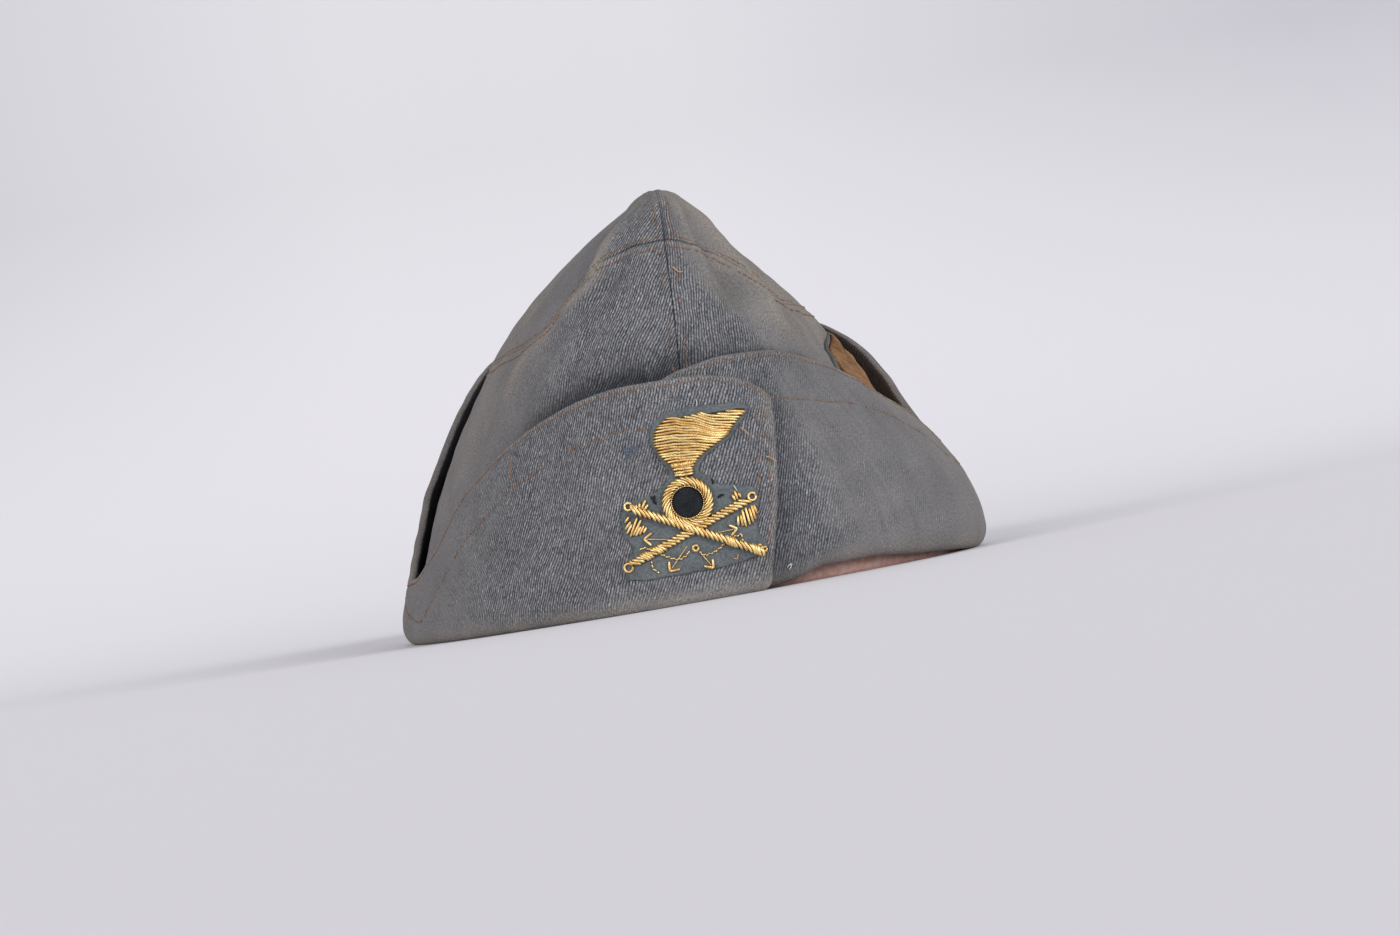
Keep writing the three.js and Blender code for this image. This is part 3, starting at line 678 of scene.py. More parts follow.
# the rows under the fold, from the inner face's foot round the lip to the outer face's foot
def foldRows(base, foot, side):
    radius = mix(make["foldRadius"], make["lapFoldRadius"], lapAt(base, side))
    up = radius * make["foldUp"] / make["foldRadius"]
    lip = mix(-make["lipReach"], standOffAt(base, foot, side) - 0.05, lapAt(base, side))
    footOff = standOffAt(base, foot, side) + make["turnUpWall"]
    crease = foot + make["foldDepth"]
    rows = [
        (crease, mix(standOffAt(base, crease, side), lip, 0.5)),
        (crease, lip + 0.05),
        (foot + make["foldDepth"] * 0.5, lip - 0.05),
        (foot, lip),
        (foot, mix(lip, footOff - radius, 0.5)),
    ]
    for turn in np.radians(np.linspace(0, 82, 9)):
        height = foot + up * (1 - math.cos(turn))
        off = footOff - radius * (1 - math.sin(turn))
        rows.append((height, off + standOffAt(base, height, side) - standOffAt(base, foot, side)))
    found = []
    for height, off in rows:
        at = base - cornerRound(height - foot, base, side)
        drape = flapDrape(base, height, side)
        found.append(formPoint(at, height) + outwardAt(at, height) * (off + drape)[..., None])
    return np.stack(found, 0), up


# how far the wall thins towards the turn-up's end, as a share of it
def endThinning(angle, height, base):
    x = formPoint(angle, height)[..., 0]
    fromEnd = np.abs(x[:, :1] - x)
    rounded = np.sqrt(np.clip(1 - (1 - np.clip(fromEnd / hem["endRound"], 0, 1)) ** 2, 0, 1))
    return np.where(np.abs(base)[None, :] < 60, 0.12 + 0.88 * rounded, 1)


def turnUp(side, material, nodes):
    start = make["lapEndAtFoot"] if side < 0 else -make["hiddenEnd"]
    share = np.linspace(0, 1, flapGrid["stations"])
    share = share * (0.5 + 0.5 * share)
    base = start + (side * 180 - start) * share
    lean = 0 * share
    if side < 0:
        lean = (make["lapEndAtTop"] - make["lapEndAtFoot"]) * (1 - smoothStep(0, hem["leanShare"], share))
    top = turnUpTopAt(base + lean, side)
    foot = foldFootAt(base, side)
    below, up = foldRows(base, foot, side)
    height, depth = flapRows(foot, up, top)
    bend = np.clip(height / top, 0, None) ** make["lapEndBend"]
    angle = base + lean * bend - cornerRound(height - foot, base, side)
    points = flapPoint(angle, height, side, 0.5 + (depth - 0.5) * endThinning(angle, height, base))
    grid = np.concatenate([below, points], 0)
    grid[:, -1, 0] = leanAt(grid[:, -1, 2]) + side * make["turnUpSeamHalf"]
    across, up = clothLengths(grid)
    across[: len(below)] = across[len(below)]  # so that the ribs run straight round the fold
    allAngle = np.concatenate([np.repeat(base[None, :], len(below), 0), angle], 0)
    allHeight = np.concatenate([below[..., 2], height], 0)
    wearAndShade = flapWearAndShade(allAngle, allHeight, side)
    # the inner face, seen in the gaps, takes painted shade from a few millimetres below its edge down, and
    # shows less wear
    behind = slice(len(below) + flapGrid["outer"] + flapGrid["round"] // 2, len(grid))
    fromEdge = fromFlapEdge(allAngle, allHeight, side)[behind]
    wearAndShade[behind, :, 2] = 0.3 * smoothStep(0.8, 3.8, fromEdge)
    wearAndShade[behind, :, :2] *= (1 - wearAndShade[behind, :, 2:]) * 0.8
    rows, columns = grid.shape[:2]
    faces = gridFaces(rows, columns, 0, side < 0, closedRows=True)
    ends = [[r * columns + c for r in range(rows)] for c in (0, columns - 1)]
    ends[1 if side > 0 else 0].reverse()
    attributes = {"cloth": layOf(across * side, up), "wearAndShade": wearAndShade.reshape(-1, 3)}
    name = "turn_up_" + sideWord(side) + "_cloth"
    meshObject(name, grid.reshape(-1, 3), faces + ends, attributes, material, nodes)


# a tube's radius along it, as a share of its radius in the middle
def taper(stations, ends):
    share = np.abs(np.linspace(-1, 1, stations))
    return mix(1, ends, np.clip((share - 0.6) / 0.4, 0, 1) ** 2)


# many threads or wires in one mesh of tubes, which narrow towards both ends
def tubePiece(name, routes, ups, radius, material, nodes=(), sides=8, ends=1):
    count, stations = routes.shape[:2]
    radii = np.broadcast_to(radius, (count, stations)) * taper(stations, ends)
    tangents = unit(np.gradient(routes, axis=1))
    across = unit(np.cross(tangents, ups))
    lift = unit(np.cross(across, tangents))
    turns = np.linspace(0, 2 * math.pi, sides, endpoint=False)
    ring = across[:, :, None] * np.cos(turns)[:, None] + lift[:, :, None] * np.sin(turns)[:, None]
    points = routes[:, :, None] + ring * radii[:, :, None, None]
    faces = []
    for k in range(count):
        start = k * stations * sides
        faces += gridFaces(stations, sides, start, True, closedColumns=True)
        faces.append([start + i for i in range(sides)])
        last = start + (stations - 1) * sides
        faces.append([last + i for i in range(sides - 1, -1, -1)])
    steps = np.linalg.norm(np.diff(routes, axis=1), axis=-1)
    along = np.concatenate([np.zeros((count, 1)), np.cumsum(steps, axis=1)], 1)
    along = np.repeat((along + np.arange(count)[:, None] * 3.7)[:, :, None], sides, 2)  # no two alike
    shade = np.random.default_rng(len(name)).uniform(0, 1, count)
    shade = np.repeat(np.repeat(shade[:, None, None], stations, 1), sides, 2)
    # how near each point lies to the top of its tube, which the gold uses for painted shade down the sides
    crest = np.broadcast_to(0.5 + 0.5 * np.sin(turns), along.shape)
    attributes = {"along": along.ravel(), "shade": shade.ravel(), "crest": crest.ravel()}
    meshObject(name, points.reshape(-1, 3), faces, attributes, material, nodes)


# the rows of stitches: their ends sink into the cloth and their middles rise from it
stitch = {
    "pitch": 1.75,
    "length": 1.2,
    "radius": 0.24,
    "sink": 0.06,
    "rise": 0.12,
    "stray": 0.1,
    "seed": 5,
}
# where the rows begin and end, by height or by degrees from the front
rowSpans = {
    "topSeam": (1, 179),
    "slitFront": (105.5, 119),
    "slitCrest": (20, 165),
    "frontSeam": (64, 103),
    "lapEnd": (3, 51.5),
}
shortRow = {"angle": (-40.9, -38.3), "height": (50, 41.4)}


# routes of single stitches along a row of points, each with the way out of the cloth
def stitchRoutes(points, ups, pitch, length, seed, keep=1.0):
    steps = np.linalg.norm(np.diff(points, axis=0), axis=-1)
    run = np.concatenate([[0], np.cumsum(steps)])
    draw = np.random.default_rng(seed)
    starts = np.arange(pitch * 0.3, run[-1] - length, pitch)
    starts = starts[draw.uniform(0, 1, len(starts)) < keep]
    share = np.linspace(0, 1, 6)
    at = starts[:, None] + share[None, :] * length * draw.uniform(0.85, 1.1, (len(starts), 1))
    found = np.stack([np.interp(at, run, points[:, i]) for i in range(3)], -1)
    out = unit(np.stack([np.interp(at, run, ups[:, i]) for i in range(3)], -1))
    sideways = unit(np.cross(unit(np.gradient(found, axis=1)), out))
    arch = stitch["rise"] - (stitch["sink"] + stitch["rise"]) * (2 * share - 1) ** 4
    slant = (2 * share - 1)[None, :] * draw.uniform(-1, 1, (len(starts), 1)) * stitch["stray"]
    shift = draw.uniform(-1, 1, (len(starts), 1)) * stitch["stray"]
    return found + out * arch[None, :, None] + sideways * (slant + shift)[..., None], out


# the angle at which the crown's face is a given distance from the middle seam
def angleBeside(distance, height, side):
    width = formValue(sideWord(side), height)
    power = 2 / formValue("square", height)
    return side * np.degrees(np.arcsin(np.clip((distance / width) ** (1 / power), 0, 1)))


# the height at which the crown's face is a given distance from the slit
def heightBesideSlit(distance, angle, side):
    low = topSeamAt(angle, side) + 0 * angle
    high = np.full_like(low, make["crest"] - 0.01)
    for _ in range(40):
        middle = (low + high) / 2
        reach = np.abs(formPoint(angle, middle)[..., 0] - leanAt(middle))
        low = np.where(reach > distance, middle, low)
        high = np.where(reach > distance, high, middle)
    return low


def stitches(material):
    rows = []

    # keep is the share of the row's stitches that are left
    def add(face, angle, height, side, keep, seed):
        points = face(angle, height, side)
        ups = outwardAt(angle, height)
        rows.append(stitchRoutes(points, ups, stitch["pitch"], stitch["length"], stitch["seed"] + seed, keep))

    slitDistance = cloth["rowBesideSlit"] / cloth["slitSlope"]
    for side in (-1, 1):
        # both sides of the top seam
        angle = side * np.linspace(*rowSpans["topSeam"], 500)
        seam = topSeamAt(angle, side)
        add(crownFace, angle, seam - cloth["rowBelowTopSeam"] / cloth["crownSlope"], side, 0.95, 1)
        add(topFace, angle, seam + cloth["rowAboveTopSeam"] / cloth["topSlope"], side, 0.95, 2)
        # beside the slit, down its front and along its crest
        height = np.linspace(*rowSpans["slitFront"], 60)
        add(topFace, angleBeside(slitDistance, height, side), height, side, 0.9, 3)
        angle = side * np.linspace(*rowSpans["slitCrest"], 300)
        add(topFace, angle, heightBesideSlit(slitDistance, angle, side), side, 0.9, 4)
        # beside the front seam, on the left along its strip
        height = np.linspace(*rowSpans["frontSeam"], 90)
        beside, keep = (cloth["stripWidth"] - cloth["stripRow"], 0.8) if side > 0 else (2.2, 0.45)
        add(crownFace, angleBeside(beside, height, side), height, side, keep, 5)
        # under the turn-up's top edge
        angle = np.linspace(2 if side > 0 else make["lapEndAtTop"] - 1.2, side * 179.5, 700)
        height = turnUpTopAt(angle, side) - hem["rowBelowEdge"] * edgeStretch(angle, side)
        add(flapPoint, angle, height, side, 0.93, 6)
        # the lower row
        angle = np.linspace(19 if side > 0 else -1, side * 179.5, 700)
        add(flapPoint, angle, tableValue(secondRow, "angle", angle, sideWord(side)), side, 0.88, 7)
    for row in hem["besideLapEnd"]:
        height = np.linspace(*rowSpans["lapEnd"], 90)
        add(flapPoint, lapEndAngle(height) - row / mmPerDegree["lapEnd"], height, -1, 0.65, 8)
    # the short row between the two on the right
    angle, height = (np.linspace(*shortRow[word], 20) for word in ("angle", "height"))
    add(flapPoint, angle, height, -1, 1, 9)
    routes, ups = (np.concatenate(parts) for parts in zip(*rows))
    tubePiece("stitch_rows", routes, ups, stitch["radius"], material, sides=6, ends=0.5)


# the badge on the turn-up's front, with x to the wearer's left of the middle and z up from the rim
badge = {
    "feltRise": 0.7,
    "wire": 0.39,
    "ring": (-5.3, 28.3),
    "ringInner": 4.5,
    "ringOuter": 7.4,
    "ringStrands": 30,
    "ringSweep": 38,
    "ringBeads": 46,
    "ringWire": (0.28, 0.42),
    "ringBead": 0.21,
    "ringPad": 1.2,
    "barrels": [((-21.2, 29.2), (13.2, 10.9)), ((-23.4, 13.9), (11.6, 26.2))],
    "barrelLift": [0.4, 0],
    "barrelWire": 0.42,
    "barrelHalf": 1.12,
    "barrelRise": 0.9,
    "barrelPad": 0.88,
    "strandPitch": 1.43,
    "strandTurn": 35,
    "wraps": [(29.5, 37), (4.4, 8.4)],
    "flamePitch": 0.81,
    "flameRows": (36.3, 58),
    "flameAcross": (-13, 17),
    "collarAcross": (-7.7, -1.9),
    "collarPitch": 0.62,
    "collarFoot": 38.7,
    "padRise": 0.8,
    "fibre": 0.07,
    "fibrePitch": 0.55,
}
feltOutline = {
    "z": [8.4, 9.5, 11, 13, 15, 17, 20, 22, 25, 27.7, 29.5, 31, 32.4, 34.2, 36.7,
          39, 41.2, 44, 47.5, 50.5, 52.5, 54, 54.8],
    "left": [-19, -25.4, -26, -26.2, -24.9, -22.8, -23.4, -24.6, -24.8, -24.4, -23.6, -22, -14.4, -11.2, -9,
             -9.7, -10.9, -12, -12.7, -12.1, -10.5, -8.4, -5.5],
    "right": [-2, 9, 14.5, 15, 13.8, 13.2, 13.4, 13.8, 14.9, 15, 13.8, 7.6, 3.6, 2.2, -0.2,
              1, 3.6, 9.8, 13.3, 16.2, 16.8, 13, 4],
}
flameOutline = [
    (-7.5, 36), (-7.9, 38.9), (-10.8, 42.4), (-12, 46.3), (-11.5, 49.2), (-9.6, 51.4), (-6.9, 52.9),
    (-4.6, 53.1), (-4.1, 52.3), (-1, 52.5), (2.5, 52.9), (4.9, 52.7), (6.6, 51.6), (10, 52),
    (13, 52.4), (16.2, 51.9), (15.6, 50.7), (13.5, 49.3), (10.1, 45.8), (6.9, 43.7), (2.6, 41.7),
    (-0.4, 39.7), (-1.9, 37.9), (-2.1, 36),
]
# the line of couching that parts the flame's rows, and how the rows fall away beyond it
flameRidge = {"z": [36, 41, 46, 50, 60], "x": [-5.6, -5.8, -4.9, -4.1, -4.2]}
flameFall = {"from": [-9, 0, 0.5, 4.9, 9.6, 14.3, 22], "drop": [-0.35, 0, 0.35, 1.5, 3.6, 4.5, 5.6]}
flameSteepness = {"z": [36, 40, 43, 47.5, 50, 53, 60], "share": [0.15, 0.3, 0.5, 0.7, 1, 1.2, 1.2]}


# points over a turn-up, from x and z on the front of the cap, found by halving the span of angles
def onFlap(x, z, above, side=-1):
    x, z, above = np.broadcast_arrays(np.asarray(x, float), np.asarray(z, float), np.asarray(above, float))
    low = np.full(x.shape, -60.0)
    high = np.full(x.shape, 40.0)
    for _ in range(26):
        middle = (low + high) / 2
        short = flapPoint(middle, z, side, 1, above, False)[..., 0] < x
        low = np.where(short, middle, low)
        high = np.where(short, high, middle)
    return flapPoint(low, z, side, 1, above, False)


# tubes over the flap, from routes of x, z and height above the cloth
def wires(name, flatRoutes, radius, material, nodes=(), sides=8, ends=0.55, flap=-1):
    routes = onFlap(*np.moveaxis(np.asarray(flatRoutes, float), -1, 0), flap)
    ups = np.broadcast_to([0.0, -1.0, 0.0], routes.shape)
    tubePiece(name, routes, ups, radius, material, nodes, sides, ends)


# a route over the flap round a middle
def roundRoute(middle, radius, turn, above):
    x, z = middle
    return np.column_stack([x + radius * np.cos(turn), z + radius * np.sin(turn), above + 0 * turn])


# whether each place lies inside a closed outline
def insideOf(x, z, outline):
    fromX, fromZ = np.array(outline, float).T
    toX, toZ = np.roll(fromX, -1), np.roll(fromZ, -1)
    x, z = np.broadcast_arrays(np.asarray(x, float)[..., None], np.asarray(z, float)[..., None])
    between = (fromZ > z) != (toZ > z)
    rise = np.where(toZ == fromZ, 1, toZ - fromZ)
    crossing = fromX + (z - fromZ) * (toX - fromX) / rise
    return np.sum(between & (x < crossing), axis=-1) % 2 == 1


# the first and last place of each unbroken run of true values
def runsOf(flags):
    edges = np.flatnonzero(np.diff(np.concatenate([[0], flags.astype(int), [0]])))
    return list(zip(edges[::2], edges[1::2] - 1))


# how far a row of the flame lies below its height at the ridge
def flameDrop(x, rowZ):
    fromRidge = x - tableValue(flameRidge, "z", rowZ, "x")
    steep = tableValue(flameSteepness, "z", rowZ, "share")
    return tableValue(flameFall, "from", fromRidge, "drop") * steep + 0.22 * hump(fromRidge, 0.15, 0.35)


# rows of wire that fall away from the ridge, each broken where the outline breaks it
def badgeFlame(material):
    draw = np.random.default_rng(46)
    strands = []
    x = np.linspace(*badge["flameAcross"], 301)
    for rowZ in np.arange(*badge["flameRows"], badge["flamePitch"]):
        z = rowZ - flameDrop(x, rowZ) + 0.07 * np.sin(x * 0.7 + rowZ * 2.3) + draw.uniform(-0.05, 0.05)
        for first, last in runsOf(insideOf(x, z, flameOutline)):
            if last - first < 12:
                continue
            share = np.linspace(-1, 1, 19)
            at = x[first] + (x[last] - x[first]) * (share + 1) / 2 + draw.uniform(-0.1, 0.1)
            dip = 0.3 * hump(at, tableValue(flameRidge, "z", rowZ, "x"), 0.4)
            above = badge["feltRise"] + 0.2 + badge["padRise"] * np.sqrt(1 - 0.98 * share**4) - dip
            strands.append(np.column_stack([at, np.interp(at, x, z), above]))
    wires("badge_flame_wires", strands, badge["wire"], material, nodes=["badge_flame"], ends=0.7)
    # the short upright strands at the flame's neck
    collar = []
    for x0 in np.arange(*badge["collarAcross"], badge["collarPitch"]):
        share = np.linspace(0, 1, 7)
        lean = draw.uniform(-0.15, 0.15)
        above = badge["feltRise"] + 1.15 + 0.35 * np.sin(share * math.pi)
        z = badge["collarFoot"] + 0.9 * share + draw.uniform(-0.1, 0.1)
        collar.append(np.column_stack([x0 + lean * share, z, above]))
    wires("badge_collar_wires", collar, badge["wire"] * 1.05, material)


# strands laid aslant over a padded bar, and wound more steeply where it is wrapped
def barStrands(start, end, lift, wraps, seed):
    start, end = np.array(start), np.array(end)
    length = np.linalg.norm(end - start)
    along = (end - start) / length
    sideways = np.array([-along[1], along[0]])
    draw = np.random.default_rng(seed)
    share = np.linspace(-1, 1, 9)
    dome = np.sqrt(1 - (share * 0.97) ** 2)
    found = []

    def lay(at, turn, wide, rise):
        reach = wide / math.tan(math.radians(turn))
        run = np.clip(at - share * reach, -0.4, length + 0.4) + draw.uniform(-0.06, 0.06)
        spot = start + along * run[:, None] + sideways * (share * wide)[:, None]
        found.append(np.column_stack([spot, badge["feltRise"] + 0.1 + lift + rise * dome]))

    half, rise = badge["barrelHalf"], badge["barrelRise"]
    for at in np.arange(0.3, length, badge["strandPitch"]):
        lay(at, badge["strandTurn"], half * draw.uniform(0.94, 1.06), rise)
    for middle in wraps:
        for k in range(3):
            lay(middle + (k - 1) * 0.8, 58, half * 1.15, rise + 0.18)
    return found


def badgeBarrels(material):
    strands = []
    for k, (start, end) in enumerate(badge["barrels"]):
        strands += barStrands(start, end, badge["barrelLift"][k], badge["wraps"][k], 40 + k)
    wires("badge_barrel_wires", strands, badge["barrelWire"], material, nodes=["badge_barrels"], ends=0.75)


# strands that sweep outwards round the ring, and beads along its inner edge
def badgeRing(material):
    inner, outer = badge["ringInner"], badge["ringOuter"]
    draw = np.random.default_rng(44)
    share = np.linspace(0, 1, 11)
    strands = []
    for k in range(badge["ringStrands"]):
        turn = 2 * math.pi * k / badge["ringStrands"] + share * math.radians(badge["ringSweep"])
        radius = mix(inner + 0.25, outer - 0.2, share) + draw.uniform(-0.06, 0.06)
        above = badge["feltRise"] + 0.35 + 1.15 * np.sqrt(1 - (2 * share - 1) ** 2 * 0.96)
        strands.append(roundRoute(badge["ring"], radius, turn, above))
    swelling = mix(*badge["ringWire"], share)
    wires("badge_ring_wires", strands, swelling, material, nodes=["badge_ring"], ends=0.75)
    beads = []
    for k in range(badge["ringBeads"]):
        turn = 2 * math.pi * (k + np.linspace(0.12, 0.88, 5)) / badge["ringBeads"]
        above = badge["feltRise"] + 0.8 + 0.1 * np.sin(np.linspace(0, math.pi, 5))
        beads.append(roundRoute(badge["ring"], inner + 0.1, turn, above))
    wires("badge_ring_beads", beads, badge["ringBead"], material)


# a closed patch lying on the flap, between left and right edges given by height
def patchPiece(name, outline, rowsCount, columns, above, under, material, nodes, fray=0.0):
    z = np.linspace(outline["z"][0], outline["z"][-1], rowsCount)[:, None]
    left = tableValue(outline, "z", z, "left") + fray * softNoise(z, 0 * z, 2.4, 61)
    right = tableValue(outline, "z", z, "right") + fray * softNoise(z, 0 * z + 9, 2.4, 62)
    x = mix(left, right, np.linspace(0, 1, columns)[None, :])
    nearEnds = np.abs(2 * np.linspace(0, 1, rowsCount) - 1)[:, None] ** 8
    zz = z + fray * 0.8 * softNoise(x, x * 0, 2.2, 63) * nearEnds
    fromEdge = np.minimum(np.minimum(x - left, right - x), np.minimum(zz - z[0], z[-1] - zz))
    outer = onFlap(x, zz, above(x, zz, fromEdge))
    inner = onFlap(x, zz, under)
    points, faces = shellMesh(outer, inner, 1)
    attributes = {"cloth": np.tile(layOf(x, zz), (2, 1))}
    meshObject(name, points, faces, attributes, material, nodes)


def badgeFelt(material):
    def above(x, z, fromEdge):
        rounded = np.sqrt(np.clip(fromEdge / 0.7, 0.02, 1))
        return badge["feltRise"] * rounded + 0.06 * softNoise(x, z, 3, 71)

    patchPiece("badge_felt", feltOutline, 130, 110, above, 0.03, material, ["badge_backing"], 0.22)
    draw = np.random.default_rng(72)
    fibres = []
    for edge, away in (("left", -1), ("right", 1)):
        for z in np.arange(10, 54, badge["fibrePitch"]):
            x = float(tableValue(feltOutline, "z", z, edge))
            share = np.linspace(0, 1, 6)
            reach = away * draw.uniform(0.1, 0.7)
            rise = badge["feltRise"] * 0.5 * (1 - share) + 0.12
            height = z + draw.uniform(-0.8, 0.8) * share
            fibres.append(np.column_stack([x - away * 0.25 + reach * share, height, rise]))
    wires("badge_felt_fibres", fibres, badge["fibre"], material, sides=4)


# the flame's left and right edges by height, a little inside its outline
def flameEdges(inset):
    heights = np.linspace(36.4, 52.6 - inset, 34)
    x = np.linspace(-14, 18, 321)
    runs = [np.flatnonzero(insideOf(x, z + 0 * x, flameOutline)) for z in heights]
    left = [x[run[0]] + inset for run in runs]
    right = [max(x[run[-1]] - inset, x[run[0]] + 2 * inset) for run in runs]
    return {"z": list(heights), "left": left, "right": right}


# padding under the wires, so that no cloth shows between them; its dark brown is painted shade in the gaps
# between the wires
def badgePads(material):
    ground = badge["feltRise"]

    def above(x, z, fromEdge):
        return ground + 0.05 + (badge["padRise"] + 0.05) * np.sqrt(np.clip(fromEdge / 1.8, 0, 1))

    patchPiece("badge_flame_pad", flameEdges(0.35), 34, 30, above, ground - 0.2, material, [])
    share = np.linspace(0, 1, 14)
    bars = []
    for k, (start, end) in enumerate(badge["barrels"]):
        lift = ground + 0.15 + badge["barrelLift"][k] * hump(share, 0.5, 0.3)
        bars.append(np.column_stack([mix(start[0], end[0], share), mix(start[1], end[1], share), lift]))
    wires("badge_barrel_pads", bars, badge["barrelPad"], material, sides=10)
    radius = (badge["ringInner"] + badge["ringOuter"]) / 2
    circle = roundRoute(badge["ring"], radius, np.linspace(0, 2 * math.pi, 40), ground + 0.3)
    wires("badge_ring_pad", [circle], badge["ringPad"], material, sides=10, ends=1)


# the domed cloth inside the ring
def badgeDisc(material):
    cx, cz = badge["ring"]
    rings, columns = 14, 40
    radius = np.linspace(0.02, badge["ringInner"] + 0.25, rings)[:, None]
    turn = np.linspace(0, 2 * math.pi, columns, endpoint=False)[None, :]
    x, z = cx + radius * np.cos(turn), cz + radius * np.sin(turn)
    dome = 0.6 * (1 - (radius / badge["ringInner"]) ** 2)
    outer = onFlap(x, z, badge["feltRise"] + 0.3 + dome + 0.05 * softNoise(x, z, 2.5, 73))
    inner = onFlap(x, z, badge["feltRise"] - 0.1)
    count = rings * columns
    points = np.concatenate([outer.reshape(-1, 3), inner.reshape(-1, 3)])
    faces = gridFaces(rings, columns, 0, True, closedColumns=True)
    faces += gridFaces(rings, columns, count, False, closedColumns=True)
    rim = [count - columns + c for c in range(columns)]
    faces += [[a, a + count, b + count, b] for a, b in zip(rim, rim[1:] + rim[:1])]
    faces.append(list(range(columns)))
    faces.append(list(range(count + columns - 1, count - 1, -1)))
    attributes = {"cloth": np.tile(layOf(x, z), (2, 1))}
    meshObject("badge_disc_cloth", points, faces, attributes, material, ["badge_disc"])


# the small ornaments about the barrels, each a few strands of wire
motifs = {
    "clusters": [
        ((-22.3, 27.1), (-23.6, 25.7)), ((-22, 25.7), (-23.8, 23.8)), ((-21.8, 24.9), (-23.6, 22.5)),
        ((-20, 26.6), (-22.8, 21.5)), ((-19, 25.8), (-21.9, 21.7)), ((-19.5, 23.8), (-21.2, 21.5)),
        ((-18.6, 24), (-20.1, 21.7)), ((-18, 23.3), (-19, 22)),
        ((8, 22.1), (7.7, 19.4)), ((8.8, 22.3), (8.9, 19)), ((9.5, 23.6), (9.8, 18.6)),
        ((10.5, 24.1), (11, 19)), ((11.5, 23.8), (12, 19.5)), ((12.3, 24.4), (12.8, 20.3)),
        ((13, 24.4), (13.5, 21.8)),
    ],
    "fans": [
        ((-19.9, 28.4), (-19.6, 30.1)), ((-19.3, 27.8), (-18.6, 30.5)), ((-18.5, 28.4), (-16.8, 31.1)),
        ((-17.7, 28.2), (-16.4, 29.6)),
        ((8.1, 26.5), (7.5, 28.2)), ((8.8, 26.7), (8.3, 29.3)), ((9.8, 27), (9.3, 28.5)),
    ],
    "loops": [
        (-21.9, 30, 1.05), (-24.8, 13, 1.2), (13, 26.8, 1.1),
        (-5.3, 15.2, 0.8), (13.9, 11.6, 0.6), (12.6, 12.4, 0.6),
    ],
    "arrows": [
        ((-11.5, 18.7), (-19.2, 20.2)), ((-1, 18.3), (7.2, 18.6)),
        ((-7.4, 16.3), (-13.6, 10)), ((-4.5, 14.2), (-1.3, 8.8)),
    ],
    "chains": [
        [(-20.9, 17.2), (-20, 17.8), (-18.3, 17.2), (-15.9, 15.6), (-13.8, 14.3), (-10.4, 12.9),
         (-8.5, 13.4), (-7.2, 14.8)],
        [(-4.5, 14), (-3.2, 12.8), (-1.1, 13), (1.8, 14.3), (4.2, 16), (6.1, 16.5), (8.1, 16.8),
         (8.2, 14.7), (9.4, 13)],
        [(-18.2, 13.6), (-18.2, 12.1), (-17.4, 10.8), (-16.6, 10.2)],
    ],
    "barb": 2.9,
    "chainPitch": 0.73,
    "wire": 0.4,
    "shaft": 0.17,
    "chainWire": 0.25,
}


# a smooth route through given points, at places on their own run
def routeThrough(points, run, at):
    table = {"run": run, **dict(enumerate(np.asarray(points, float).T))}
    return np.column_stack([tableValue(table, "run", at, k) for k in range(len(points[0]))])


def badgeMotifs(material):
    base = badge["feltRise"] + 0.22
    share = np.linspace(0, 1, 13)
    draw = np.random.default_rng(52)
    thick, thin = [], []

    def straight(start, end, into, lift, arch):
        start, end = np.array(start, float), np.array(end, float)
        route = start + (end - start) * share[:, None]
        into.append(np.column_stack([route, base + lift + arch * np.sin(share * math.pi)]))

    for x, z, radius in motifs["loops"]:
        thick.append(roundRoute((x, z), radius, 0.3 + share * 2 * math.pi, base + 0.2))
    for root, tip in motifs["clusters"] + motifs["fans"]:
        straight(root, tip, thick, 0.15, 0.4)
    for start, end in motifs["arrows"]:
        start, end = np.array(start), np.array(end)
        straight(start, end, thin, -0.05, 0.1)
        along = unit(end - start)
        sideways = np.array([-along[1], along[0]])
        for side in (-1, 1):
            aside = sideways * side * motifs["barb"] * draw.uniform(0.5, 0.7)
            straight(end, end - along * motifs["barb"] * 0.75 + aside, thick, 0.1, 0.15)
    wires("badge_motif_wires", thick, motifs["wire"], material, ends=0.7)
    wires("badge_arrow_shafts", thin, motifs["shaft"], material)
    beads = []
    for chain in motifs["chains"]:
        run = np.concatenate([[0], np.cumsum(np.linalg.norm(np.diff(chain, axis=0), axis=1))])
        count = round(run[-1] / motifs["chainPitch"])
        route = routeThrough(chain, run, np.linspace(0, run[-1], count + 1))
        for k in range(count):
            along = np.linspace(0.06, 0.94, 6)[:, None]
            across = 0.12 * (-1) ** k
            piece = route[k] + (route[k + 1] - route[k]) * along + [0, across]
            beads.append(np.column_stack([piece, base + 0.2 * np.sin(along[:, 0] * math.pi)]))
    wires("badge_chain_wires", beads, motifs["chainWire"], material)


